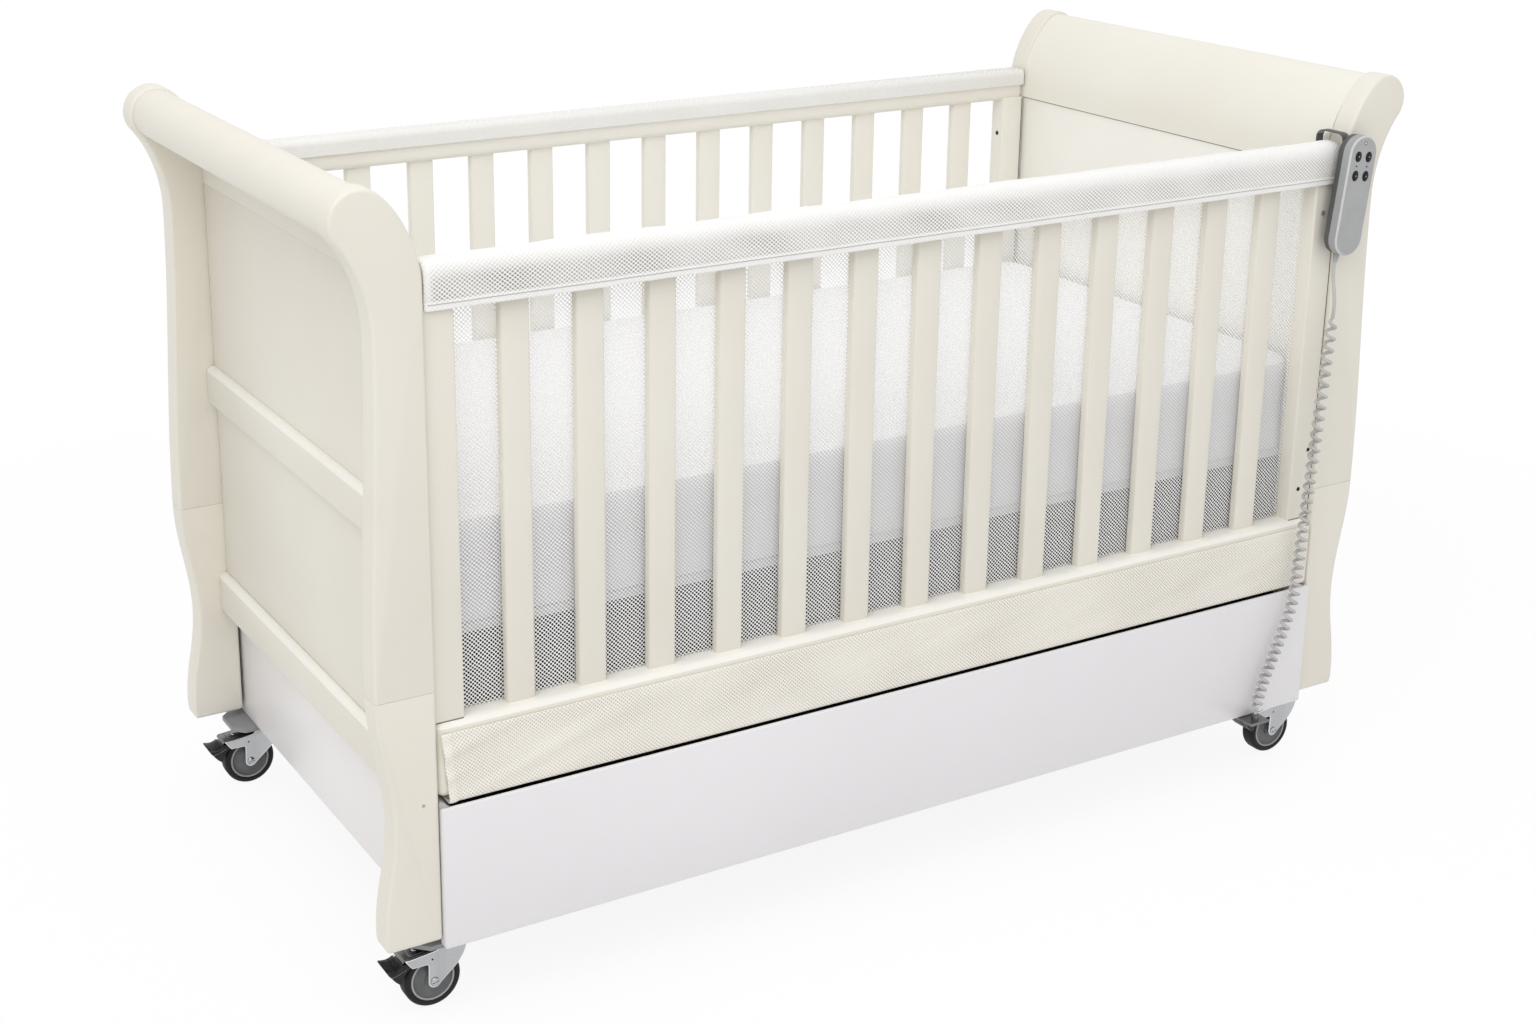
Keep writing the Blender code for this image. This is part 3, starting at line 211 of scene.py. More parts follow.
def srgb(red, green, blue):  # 0 to 255, as a colour picker shows them
    return tuple((c / 255 / 12.92 if c < 10.3 else ((c / 255 + 0.055) / 1.055) ** 2.4)
                 for c in (red, green, blue)) + (1.0,)


# shader nodes: an input takes a socket to link or a value to set

def setInputs(tree, node, wires):
    for key, value in wires.items():
        if isinstance(value, bpy.types.NodeSocket):
            tree.links.new(value, node.inputs[key])
        else:
            node.inputs[key].default_value = value


def addNode(tree, kind, wires=None, **settings):
    node = tree.nodes.new("ShaderNode" + kind)
    for key, value in settings.items():
        setattr(node, key, value)
    setInputs(tree, node, wires or {})
    return node


def mathNode(tree, operation, first, second):
    return addNode(tree, "Math", {0: first, 1: second}, operation=operation).outputs["Value"]


def vectorNode(tree, operation, first, second=(0, 0, 0)):
    return addNode(tree, "VectorMath", {0: first, 1: second}, operation=operation).outputs["Vector"]


def startMaterial(name):
    made = bpy.data.materials.new(name)
    made.use_nodes = True
    return made, made.node_tree, made.node_tree.nodes["Principled BSDF"]


def startGroup(name, inputs, outputs):
    tree = bpy.data.node_groups.new(name, "ShaderNodeTree")
    for label, kind, value in inputs:
        socket = tree.interface.new_socket(name=label, in_out="INPUT", socket_type="NodeSocket" + kind)
        if value is not None:
            socket.default_value = value
    for label, kind in outputs:
        tree.interface.new_socket(name=label, in_out="OUTPUT", socket_type="NodeSocket" + kind)
    return tree, tree.nodes.new("NodeGroupInput").outputs, tree.nodes.new("NodeGroupOutput")


# shared surface effects, each a group of shader nodes

def makeSurfaceTone():  # patchy colour, uneven gloss and a fine grain to bump
    tree, given, put = startGroup("surfaceTone", [
        ("Vector", "Vector", None), ("Light", "Color", (1, 1, 1, 1)), ("Dark", "Color", (0, 0, 0, 1)),
        ("Patch Scale", "Float", 6.0), ("Grain Scale", "Float", 900.0), ("Rough Low", "Float", 0.35),
        ("Rough High", "Float", 0.5)], [("Color", "Color"), ("Roughness", "Float"), ("Height", "Float")])
    patch = addNode(tree, "TexNoise", {"Vector": given["Vector"], "Scale": given["Patch Scale"], "Detail": 4.0,
                                       "Roughness": 0.55})
    grain = addNode(tree, "TexNoise", {"Vector": given["Vector"], "Scale": given["Grain Scale"], "Detail": 2.0})
    spread = addNode(tree, "MapRange", {"Value": patch.outputs["Fac"], "From Min": 0.3, "From Max": 0.7})
    colour = addNode(tree, "Mix", {"Factor": spread.outputs["Result"], "A": given["Dark"], "B": given["Light"]},
                     data_type="RGBA")
    gloss = addNode(tree, "MapRange", {"Value": grain.outputs["Fac"], "From Min": 0.3, "From Max": 0.7,
                                       "To Min": given["Rough Low"], "To Max": given["Rough High"]})
    setInputs(tree, put, {"Color": colour.outputs["Result"], "Roughness": gloss.outputs["Result"],
                          "Height": grain.outputs["Fac"]})
    return tree


def makeOpenWeave():  # rows of small holes, every second row shifted by half a pitch
    tree, given, put = startGroup("openWeave", [
        ("Vector", "Vector", None), ("Across", "Float", 0.0033), ("Down", "Float", 0.0036), ("Hole", "Float", 0.3),
        ("Soft", "Float", 0.1), ("Sway", "Float", 0.0)], [("Hole", "Float"), ("Height", "Float")])
    wobble = addNode(tree, "TexNoise", {"Vector": given["Vector"], "Scale": 60.0, "Detail": 1.0})
    centred = vectorNode(tree, "SUBTRACT", wobble.outputs["Color"], (0.5, 0.5, 0.5))
    swayed = addNode(tree, "VectorMath", {0: centred, "Scale": given["Sway"]}, operation="SCALE")
    placed = vectorNode(tree, "ADD", given["Vector"], swayed.outputs["Vector"])
    pitch = addNode(tree, "CombineXYZ", {"X": given["Across"], "Y": given["Down"], "Z": 1.0})
    cells = vectorNode(tree, "DIVIDE", placed, pitch.outputs["Vector"])
    nearest = []
    for shift in (0.0, 0.5):
        share = vectorNode(tree, "FRACTION", vectorNode(tree, "ADD", cells, (shift, shift, 0)))
        local = vectorNode(tree, "SUBTRACT", share, (0.5, 0.5, 0))
        flat = vectorNode(tree, "MULTIPLY", local, (1, 1, 0))
        nearest.append(addNode(tree, "VectorMath", {0: flat}, operation="LENGTH").outputs["Value"])
    least = mathNode(tree, "MINIMUM", *nearest)
    rim = mathNode(tree, "ADD", given["Hole"], given["Soft"])
    hole = addNode(tree, "MapRange", {"Value": least, "From Min": given["Hole"], "From Max": rim, "To Min": 1.0,
                                      "To Max": 0.0}, interpolation_type="SMOOTHSTEP")
    height = addNode(tree, "MapRange", {"Value": least, "From Min": 0.0, "From Max": 0.5},
                     interpolation_type="SMOOTHSTEP")
    setInputs(tree, put, {"Hole": hole.outputs["Result"], "Height": height.outputs["Result"]})
    return tree


surfaceTone = makeSurfaceTone()
openWeave = makeOpenWeave()


def finish(light, dark, patch, grain, gloss, bump=0.00001, **more):
    return dict(light=light, dark=dark, patch=patch, grain=grain, gloss=gloss, bump=bump, **more)


# finishes: two tones, patch and grain scale per metre, roughness range, bump in metres
finishes = {
    "creamPaint": finish((235, 231, 220), (232, 227, 215), 5, 420, (0.34, 0.46), 0.00002),
    # painted light: a paler copy of the cream paint, for parts that would otherwise read too dark
    "panelCream": finish((240, 237, 227), (237, 233, 222), 5, 420, (0.34, 0.46), 0.00002),
    # painted highlight: a still paler copy of the cream, for edges and faces where light falls
    "paintedHighlightCream": finish((249, 247, 240), (246, 243, 236), 5, 420, (0.34, 0.46), 0.00002),
    # painted shade: the tone of the dark strips in joints and grooves
    "jointShade": finish((112, 104, 88), (100, 92, 78), 40, 900, (0.6, 0.7)),
    "whiteBoard": finish((238, 236, 238), (235, 233, 235), 4, 500, (0.30, 0.40)),
    # painted light: the end boards are paler than the front and the rear board
    "endBoard": finish((246, 243, 242), (243, 240, 239), 4, 500, (0.30, 0.40)),
    "capWhite": finish((240, 239, 236), (236, 234, 230), 8, 300, (0.22, 0.30)),
    "handsetGrey": finish((176, 177, 178), (168, 168, 169), 30, 2600, (0.40, 0.55), 0.00003),
    # painted highlight on the handset's rim; painted shade on its side wall and painted light on the strap's top
    "handsetRimHighlight": finish((206, 207, 208), (200, 201, 202), 30, 2600, (0.36, 0.48)),
    "handsetSide": finish((166, 167, 168), (158, 159, 160), 30, 2600, (0.40, 0.55), 0.00002),
    "handsetDark": finish((86, 87, 89), (72, 73, 75), 30, 2600, (0.42, 0.56), 0.00003),
    "reliefGrey": finish((176, 178, 181), (164, 166, 169), 40, 1500, (0.40, 0.52)),
    "blackPlastic": finish((34, 34, 35), (22, 22, 23), 40, 2200, (0.36, 0.52), 0.00003, shine=0.2),
    "pedalBlack": finish((34, 34, 35), (26, 26, 27), 40, 2200, (0.20, 0.30), shine=0.3),
    "tyreRubber": finish((38, 38, 38), (28, 28, 28), 60, 1800, (0.50, 0.68), 0.00004, shine=0.25),
    "hubGrey": finish((112, 113, 114), (98, 99, 100), 50, 1500, (0.38, 0.50), 0.00002),
    "hubRing": finish((178, 178, 178), (160, 160, 160), 50, 1500, (0.30, 0.40)),
    "zinc": finish((192, 193, 195), (178, 179, 181), 30, 700, (0.24, 0.30), 0.000004, metallic=1.0,
                   stretch=(1.0, 1.0, 0.12)),
    # painted highlight: a brighter zinc for the fork's rounded edges
    "zincEdgeHighlight": finish((240, 240, 241), (232, 232, 233), 30, 700, (0.20, 0.28), 0.000004, metallic=1.0),
    "darkZinc": finish((132, 132, 132), (112, 112, 113), 30, 700, (0.30, 0.38), 0.000004, metallic=1.0,
                       stretch=(0.2, 1.0, 1.0)),
    "steelPaint": finish((150, 151, 154), (138, 139, 142), 12, 1600, (0.40, 0.54), 0.00004),
    "cordGrey": finish((196, 195, 193), (180, 179, 177), 40, 1500, (0.18, 0.26)),
    "darkBoard": finish((34, 33, 33), (26, 26, 26), 20, 900, (0.50, 0.64), 0.00002),
    "graphite": finish((34, 34, 36), (26, 26, 28), 12, 1600, (0.48, 0.62), 0.00004),
    "arrowWhite": finish((240, 240, 240), (226, 226, 226), 200, 2000, (0.40, 0.50)),
    "threadGrey": finish((196, 194, 192), (184, 182, 180), 80, 900, (0.7, 0.8)),
    "plugTan": finish((196, 182, 156), (184, 170, 144), 80, 900, (0.5, 0.6)),
    "shadowBlack": finish((20, 19, 18), (10, 10, 10), 200, 2000, (0.6, 0.8)),
}


def makeFinish(name, look):
    made, tree, shader = startMaterial(name)
    place = addNode(tree, "TexCoord").outputs["Object"]
    if "stretch" in look:
        place = addNode(tree, "Mapping", {"Vector": place, "Scale": look["stretch"]}).outputs["Vector"]
    tone = addNode(tree, "Group", {
        "Vector": place, "Light": srgb(*look["light"]), "Dark": srgb(*look["dark"]), "Patch Scale": look["patch"],
        "Grain Scale": look["grain"], "Rough Low": look["gloss"][0], "Rough High": look["gloss"][1]},
        node_tree=surfaceTone).outputs
    bump = addNode(tree, "Bump", {"Height": tone["Height"], "Distance": look["bump"], "Strength": 1.0})
    setInputs(tree, shader, {
        "Base Color": tone["Color"], "Roughness": tone["Roughness"], "Normal": bump.outputs["Normal"],
        "Metallic": look.get("metallic", 0.0), "Specular IOR Level": look.get("shine", 0.5)})
    return made


# fabrics: thread and hole tones, where the darker hole tones are painted shade inside the holes; weave pitch in metres,
# hole and edge as shares of the pitch
fabrics = {
    "coverMesh": dict(thread=(250, 249, 247), hole=(116, 103, 88), across=0.0062, down=0.0050, open=0.15, soft=0.20,
                      sway=0.0016, bump=0.0006, rough=0.85),
    "wrapMesh": dict(thread=(249, 245, 236), hole=(196, 189, 176), across=0.0054, down=0.0050, open=0.12, soft=0.20,
                     sway=0.0016, bump=0.0005, rough=0.85),
    "linerMesh": dict(thread=(252, 252, 252), hole=(236, 235, 236), across=0.0056, down=0.0054, open=0.242, soft=0.07,
                      sway=0.0018, bump=0.0002, rough=0.8, seeThrough=True),
    "ticking": dict(thread=(252, 252, 253), hole=(242, 242, 244), across=0.0012, down=0.0012, open=0.12, soft=0.2,
                    sway=0.0006, bump=0.00012, rough=0.9),
    # painted shade: a darker ticking for the mattress's sides
    "tickingSide": dict(thread=(229, 228, 232), hole=(214, 213, 217), across=0.0012, down=0.0012, open=0.12, soft=0.2,
                        sway=0.0006, bump=0.00012, rough=0.9),
}
clothSheen = 0.15


def makeFabric(name, look):
    made, tree, shader = startMaterial(name)
    place = addNode(tree, "UVMap", uv_map="cloth").outputs["UV"]
    weave = addNode(tree, "Group", {
        "Vector": place, "Across": look["across"], "Down": look["down"], "Hole": look["open"], "Soft": look["soft"],
        "Sway": look["sway"]}, node_tree=openWeave).outputs
    share = addNode(tree, "Attribute", attribute_name="openShare").outputs["Fac"]
    holes = mathNode(tree, "MULTIPLY", weave["Hole"], share)
    tint = addNode(tree, "Mix", {"Factor": holes, "A": srgb(*look["thread"]), "B": srgb(*look["hole"])},
                   data_type="RGBA")
    bump = addNode(tree, "Bump", {"Height": weave["Height"], "Distance": look["bump"], "Strength": 0.8})
    setInputs(tree, shader, {"Base Color": tint.outputs["Result"], "Normal": bump.outputs["Normal"],
                             "Roughness": look["rough"], "Sheen Weight": clothSheen})
    if look.get("seeThrough"):
        setInputs(tree, shader, {"Alpha": mathNode(tree, "SUBTRACT", 1.0, holes)})
    return made


looks = {name: makeFinish(name, look) for name, look in finishes.items()}
looks.update({name: makeFabric(name, look) for name, look in fabrics.items()})
print("finishes and fabrics:", len(looks))


# outlines and bmesh helpers

def arcPoints(centre, radius, first, last, count):
    angles = [math.radians(first + (last - first) * k / count) for k in range(count + 1)]
    return [(centre[0] + radius * math.cos(a), centre[1] + radius * math.sin(a)) for a in angles]


def bezierPoints(p0, p1, p2, p3, count):  # leaves its last point to what follows
    points = []
    for k in range(count):
        t = k / count
        weights = ((1 - t) ** 3, 3 * t * (1 - t) ** 2, 3 * t * t * (1 - t), t**3)
        points.append(tuple(sum(w * p[i] for w, p in zip(weights, (p0, p1, p2, p3))) for i in range(len(p0))))
    return points


def alongX(a, b, depth):
    return Vector((depth, a, b))


def alongY(a, b, depth):
    return Vector((a, depth, b))


def alongZ(a, b, depth):
    return Vector((a, b, depth))


def bevelEdges(bm, edges, offset, segments, clamp=True):
    return bmesh.ops.bevel(bm, geom=edges, offset=offset, segments=segments, profile=0.5, affect="EDGES", material=-1,
                           clamp_overlap=clamp)["verts"]


def addPlate(bm, outline, start, end, place, rounding=0.0, segments=3, sharp=None):
    base = bm.faces.new([bm.verts.new(place(a, b, start)) for a, b in outline])
    grown = bmesh.ops.extrude_face_region(bm, geom=[base])["geom"]
    moved = [g for g in grown if isinstance(g, bmesh.types.BMVert)]
    bmesh.ops.translate(bm, vec=place(0, 0, end) - place(0, 0, start), verts=moved)
    if rounding:
        top = [g for g in grown if isinstance(g, bmesh.types.BMFace)]
        rim = [e for f in [base] + top for e in f.edges]
        soft = [e for e in rim if sharp is None or not sharp(*(v.co for v in e.verts))]
        bevelEdges(bm, soft, rounding, segments, clamp=False)


def addBar(bm, low, high, rounding, segments=3):
    verts = bmesh.ops.create_cube(bm, size=1.0)["verts"]
    bmesh.ops.scale(bm, vec=Vector(high) - Vector(low), verts=verts)
    bmesh.ops.translate(bm, vec=(Vector(high) + Vector(low)) / 2, verts=verts)
    return bevelEdges(bm, list({e for v in verts for e in v.link_edges}), rounding, segments)


def addTurned(bm, profile, centre, axis, steps=40):  # profile of (radius, along), closed on itself or on the axis
    axis = Vector(axis).normalized()
    side = axis.orthogonal().normalized()
    verts = [bm.verts.new(Vector(centre) + side * radius + axis * along) for radius, along in profile]
    edges = [bm.edges.new(pair) for pair in zip(verts, verts[1:])]
    if profile[0][0] > 1e-6:
        edges.append(bm.edges.new((verts[-1], verts[0])))
    bmesh.ops.spin(bm, geom=verts + edges, cent=centre, axis=axis, angle=2 * math.pi, steps=steps, use_merge=True)


def paintFaces(bm, pick):  # pick gives the number of the look that a face wears
    bm.normal_update()
    for face in bm.faces:
        face.material_index = int(pick(face))


def camelName(node):
    first, *rest = node.split("_")
    return first + "".join(word.title() for word in rest)


def finishPiece(name, bm, look, body, slot, replaces=(), smooth=35.0):
    bmesh.ops.remove_doubles(bm, verts=bm.verts, dist=1e-6)
    bmesh.ops.recalc_face_normals(bm, faces=bm.faces)
    mesh = bpy.data.meshes.new(name)
    bm.to_mesh(mesh)
    bm.free()
    mesh.shade_smooth()
    mesh.set_sharp_from_angle(angle=math.radians(smooth))
    for each in [look] if isinstance(look, str) else look:
        mesh.materials.append(looks[each])
    piece = bpy.data.objects.new(name, mesh)
    scene.collection.objects.link(piece)
    if body:
        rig.ride(piece, body)
    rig.slot(piece, slot)
    if replaces:
        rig.replaces(piece, *replaces)
    return piece


# camera at the photograph's angle
view = dict(place=(-1.622, -2.553, 1.552), azimuth=30.084, dip=16.895, roll=0.289, lens=51.70, shift=(0.052, -0.098))


def makeCamera(v):
    azimuth, dip, roll = (math.radians(v[k]) for k in ("azimuth", "dip", "roll"))
    ahead = Vector((math.sin(azimuth) * math.cos(dip), math.cos(azimuth) * math.cos(dip), -math.sin(dip)))
    level = Vector((math.cos(azimuth), -math.sin(azimuth), 0))
    above = level.cross(ahead)
    right = level * math.cos(roll) + above * math.sin(roll)
    up = above * math.cos(roll) - level * math.sin(roll)
    data = bpy.data.cameras.new("photoView")
    data.lens = v["lens"]
    data.shift_x, data.shift_y = v["shift"]
    camera = bpy.data.objects.new("photoView", data)
    camera.matrix_world = Matrix.Translation(v["place"]) @ Matrix((right, up, -ahead)).transposed().to_4x4()
    scene.collection.objects.link(camera)
    scene.camera = camera


makeCamera(view)

# the handset's own frame: it leans on its hook, so its pieces are made upright and then tilted
handset = dict(lean=6.7, wide=0.051, tall=0.171, backDeep=0.014, rim=0.0022, seam=0.0004, backLess=0.0016,
               backEdge=0.0030, reliefLong=0.012, reliefRadius=0.0045, deeper=0.003)
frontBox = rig.box("handset_front")
handsetAt = Vector(((frontBox[0].x + frontBox[1].x) / 2, 0, (frontBox[0].z + frontBox[1].z) / 2))
handsetTilt = Matrix.Translation(handsetAt) @ Matrix.Rotation(math.radians(handset["lean"]), 4, "Y")
faceY = frontBox[0].y  # front of the front shell
joinY = frontBox[1].y  # where the two shells meet
backY = joinY + handset["backDeep"]

# curly cord: a short lead from the handset, then the curls down to the gland under the front board
cord = dict(radius=0.0025, coilRadius=0.0065, curls=42, perCurl=14, tighten=0.62, sides=12, top=(0.681, 0.7132),
            knee=(0.654, 0.290), bend=(-0.01, -0.12), gap=0.0003, leadPull=0.025, topPull=0.47, lowPull=0.11)


def cordRoute(c):
    straight = 2 * c["radius"]
    curlsBox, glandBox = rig.box("cord_curls"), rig.box("cord_gland")
    y = (curlsBox[0].y + curlsBox[1].y) / 2
    out = handsetTilt.to_3x3() @ Vector((0, 0, -1))
    lowEnd = -handset["tall"] / 2 - handset["reliefLong"] - c["gap"]
    start = handsetTilt @ Vector((0, (joinY + backY) / 2, lowEnd))
    top = Vector((c["top"][0], y, c["top"][1]))
    knee = Vector((c["knee"][0], y, c["knee"][1]))
    low = Vector(((glandBox[0].x + glandBox[1].x) / 2, y, glandBox[1].z + c["gap"]))
    fall = knee - top
    along = fall.normalized()
    lead = [start] + bezierPoints(start + out * straight, start + out * c["leadPull"], top - along * c["leadPull"],
                                  top - along * straight, 14)
    lead = [Vector(p) for p in lead + [top - along * straight, top]]
    begin = top + along * c["gap"]
    bend = Vector((c["bend"][0], 0, c["bend"][1])) * fall.length
    upright = Vector((0, 0, 1))
    line = bezierPoints(begin + along * straight, begin + along * c["topPull"] * fall.length, knee - bend, knee, 60)
    line += bezierPoints(knee, knee + bend, low + upright * c["lowPull"] * fall.length, low + upright * straight, 30)
    line = [Vector(p) for p in line] + [low + upright * straight]
    return lead, begin, line, low


def lengthsAlong(line):
    travel = [0.0]
    for a, b in zip(line, line[1:]):
        travel.append(travel[-1] + (b - a).length)
    return travel


def pointAlong(line, travel, distance):
    distance = min(max(distance, 0.0), travel[-1])
    k = next(i for i in range(1, len(travel)) if distance <= travel[i])
    share = (distance - travel[k - 1]) / (travel[k] - travel[k - 1])
    return line[k - 1].lerp(line[k], share)


def aheadAlong(line, travel, distance, reach):
    return pointAlong(line, travel, distance + reach) - pointAlong(line, travel, distance - reach)


def curlPoints(c, begin, line, low):
    travel = lengthsAlong(line)
    firstPitch = 2 * travel[-1] / (c["curls"] * (1 + c["tighten"]))
    change = firstPitch * (c["tighten"] - 1)
    across = Vector((0, 1, 0))
    points = [begin]
    for k in range(c["curls"] * c["perCurl"] + 1):
        turn = k / c["perCurl"]
        distance = turn * firstPitch + change * turn**2 / (2 * c["curls"])
        sideways = aheadAlong(line, travel, distance, 0.002).normalized().cross(across)
        swell = c["coilRadius"] * min(1.0, turn, c["curls"] - turn)
        angle = 2 * math.pi * turn
        points.append(pointAlong(line, travel, distance)
                      + (sideways * math.cos(angle) + across * math.sin(angle)) * swell)
    return points + [low]


def tubeMesh(name, points, radius, sides):
    data = bpy.data.curves.new(name, "CURVE")
    data.dimensions = "3D"
    data.bevel_depth = radius
    data.bevel_resolution = sides // 4 - 1
    data.use_fill_caps = True
    spline = data.splines.new("POLY")
    spline.points.add(len(points) - 1)
    for spot, point in zip(spline.points, points):
        spot.co = (*point, 1.0)
    holder = bpy.data.objects.new(name + "Line", data)
    scene.collection.objects.link(holder)
    mesh = bpy.data.meshes.new_from_object(holder.evaluated_get(bpy.context.evaluated_depsgraph_get()))
    bpy.data.objects.remove(holder)
    bm = bmesh.new()
    bm.from_mesh(mesh)
    bpy.data.meshes.remove(mesh)
    return bm


def joinInto(bm, other):
    mesh = bpy.data.meshes.new("part")
    other.to_mesh(mesh)
    other.free()
    bm.from_mesh(mesh)
    bpy.data.meshes.remove(mesh)


def makeCord(c):
    lead, begin, line, low = cordRoute(c)
    curls = curlPoints(c, begin, line, low)
    measure = lengthsAlong(curls)[-1]
    curlPiece = finishPiece("curlyCord", tubeMesh("curlyCord", curls, c["radius"], c["sides"]), "cordGrey", None,
                            "cord_grey", ["cord_curls"], 60)
    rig.blend(curlPiece, "base", "cot", start=low, end=begin)
    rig.cord(curlPiece, exit=low, length=measure, diameter=2 * c["radius"], far_end="object", stiffness="medium",
            lay="hanging", path=list(reversed(curls)))
    leadPiece = finishPiece("cordLead", tubeMesh("cordLead", lead, c["radius"], c["sides"]), "cordGrey", None,
                            "cord_grey", ["cord_lead"], 60)
    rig.blend(leadPiece, "cot", "handset", start=lead[-1], end=lead[0])
    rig.cord(leadPiece, exit=lead[0], length=lengthsAlong(lead)[-1], diameter=2 * c["radius"], far_end="object",
            stiffness="medium", lay="hanging", path=lead)
    print("cord: curls", round(measure, 3), "m, lead", round(lengthsAlong(lead)[-1], 3), "m")


makeCord(cord)

# sleigh ends: S-shaped posts and legs, crest with its roll, rails; the outline is measured from the straight edge
sleigh = dict(headRadius=0.037, headReach=0.071, neckReach=0.062, neckDown=0.135, seamReach=0.076, waistReach=0.057,
              waistUp=0.160, footReach=0.073, bulgeUp=0.020, curveDown=0.080, edge=0.0044, onHead=50, offHead=-40,
              seamEdge=0.0013, seamInset=0.0003, rollInset=0.004, crestIn=0.001, crestThick=0.036, stepDown=0.055,
              crestLine=0.0015)
endRail = dict(soft=0.009, under=0.003, edge=0.0015)
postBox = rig.box("right_front_post")
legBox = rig.box("right_front_leg")
innerX = postBox[0].x
headAt = (innerX + sleigh["headReach"], postBox[1].z - sleigh["headRadius"])


def innerCurve(s, radius, startX, count):
    on = math.radians(s["onHead"])
    touch = (headAt[0] - radius * math.cos(on), headAt[1] + radius * math.sin(on))
    reach = 0.8 * s["headRadius"]
    pull = (touch[0] - reach * math.sin(on), touch[1] - reach * math.cos(on))
    low = (startX, headAt[1] - s["curveDown"])
    return bezierPoints(low, (startX, low[1] + 0.56 * s["curveDown"]), pull, touch, count)


def postOutline(s):
    low = postBox[0].z
    radius = s["headRadius"]
    neck = (innerX + s["neckReach"], headAt[1] - s["neckDown"])
    seam = (innerX + s["seamReach"], low)
    off = math.radians(s["offHead"])
    points = [(innerX, low)] + innerCurve(s, radius, innerX, 14)
    points += arcPoints(headAt, radius, 180 - s["onHead"], s["offHead"], 26)
    leave = points.pop()
    pull = (leave[0] + 0.95 * radius * math.sin(off), leave[1] - 0.95 * radius * math.cos(off))
    points += bezierPoints(leave, pull, (neck[0], neck[1] + 0.3 * s["neckDown"]), neck, 14)
    reach = 0.37 * (neck[1] - low)
    points += bezierPoints(neck, (neck[0], neck[1] - reach), (seam[0], low + reach), seam, 16)
    return points + [seam]


def legOutline(s):
    low, high = legBox[0].z, legBox[1].z
    edge = s["edge"]
    foot = innerX + s["footReach"]
    bulge = (foot, low + s["bulgeUp"])
    waist = (innerX + s["waistReach"], low + s["waistUp"])
    seam = (innerX + s["seamReach"], high)
    points = [(innerX, high)] + arcPoints((innerX + edge, low + edge), edge, 180, 270, 4)
    points += bezierPoints((foot - 1.4 * edge, low), (foot - 0.3 * edge, low), (foot, low + 0.9 * edge), bulge, 8)
    reach = 0.39 * (waist[1] - bulge[1])
    points += bezierPoints(bulge, (foot, bulge[1] + reach), (waist[0], waist[1] - reach), waist, 14)
    reach = 0.36 * (high - waist[1])
    points += bezierPoints(waist, (waist[0], waist[1] + reach), (seam[0], high - reach), seam, 14)
    return points + [seam]


def crestOutline(s):
    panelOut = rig.box("right_panel")[1].x + 0.0003
    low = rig.box("right_crest")[0].z
    roll = s["headRadius"] - s["rollInset"]
    inside = innerX + s["crestIn"]
    outside = inside + s["crestThick"]
    step = headAt[1] - s["stepDown"]
    points = [(inside, low)] + innerCurve(s, roll, inside, 14)
    points += arcPoints(headAt, roll, 180 - s["onHead"], -105, 34)
    under = points.pop()
    points += bezierPoints(under, (under[0] - 0.36 * roll, under[1] - 0.06 * roll), (outside, step + 0.42 * roll),
                           (outside, step), 12)
    return points + [(outside, step), (panelOut, step), (panelOut, low)]


def railOutline(node, r):
    low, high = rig.box(node)
    under, soft = r["under"], r["soft"]
    points = [(low.x, low.z)] + arcPoints((high.x - under, low.z + under), under, -90, 0, 3)
    return points + arcPoints((high.x - soft, high.z - soft), soft, 0, 90, 6) + [(low.x, high.z)]


def mirrored(outline, side):
    return [(side * a, b) for a, b in outline]


def makePost(s, side, node, outline, seamZ):  # a post or a leg, crisp at the seam between them
    def atSeam(a, b):
        return abs(a.z - seamZ) < 1e-4 and abs(b.z - seamZ) < 1e-4
    low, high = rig.box(node)
    bm = bmesh.new()
    addPlate(bm, mirrored(outline, side), low.y, high.y, alongY, s["edge"], 5, atSeam)
    rim = [e for e in bm.edges if atSeam(*(v.co for v in e.verts)) and e.calc_length() > 0.002
           and len(e.link_faces) == 2]
    bevelEdges(bm, rim, s["seamEdge"], 2)
    finishPiece(camelName(node), bm, "creamPaint", "cot", "cream_paint", [node], 40)


def makeCrest(s, side, node):
    low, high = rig.box(node)
    bm = bmesh.new()
    addPlate(bm, mirrored(crestOutline(s), side), low.y, high.y, alongY)
    # painted light: the right crest wears the paler cream
    look = "creamPaint" if side < 0 else "panelCream"
    finishPiece(camelName(node), bm, look, "cot", "cream_paint", [node], 40)


def makeEndRail(r, side, node):
    low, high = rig.box(node)
    bm = bmesh.new()
    outline = mirrored(railOutline(node.replace("left", "right"), r), side)
    addPlate(bm, outline, low.y, high.y, alongY, r["edge"], 2)
    bmesh.ops.recalc_face_normals(bm, faces=bm.faces)
    paintFaces(bm, lambda face: face.normal.z > 0.3)  # painted highlight: the rounded top edge wears a paler cream
    finishPiece(camelName(node), bm, ["creamPaint", "paintedHighlightCream"], "cot", "cream_paint", [node], 40)


def makePanel(side, node):
    bm = bmesh.new()
    addBar(bm, *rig.box(node), 0.001, 2)
    paintFaces(bm, lambda face: side > 0 and face.normal.x < -0.5)  # painted light: the right panel's inner face, which the cot's inside lights, wears a paler cream
    finishPiece(camelName(node), bm, ["creamPaint", "paintedHighlightCream"], "cot", "cream_paint", [node])


def makeSleighEnds(s):
    halves = (("post", postOutline(s), postBox[0].z), ("leg", legOutline(s), legBox[1].z))
    for side, hand in hands:
        for place in ("front", "rear"):
            for half, outline, seamZ in halves:
                makePost(s, side, f"{hand}_{place}_{half}", outline, seamZ)
        makeCrest(s, side, f"{hand}_crest")
        for level in ("mid", "low"):
            makeEndRail(endRail, side, f"{hand}_{level}_rail")
        makePanel(side, f"{hand}_panel")


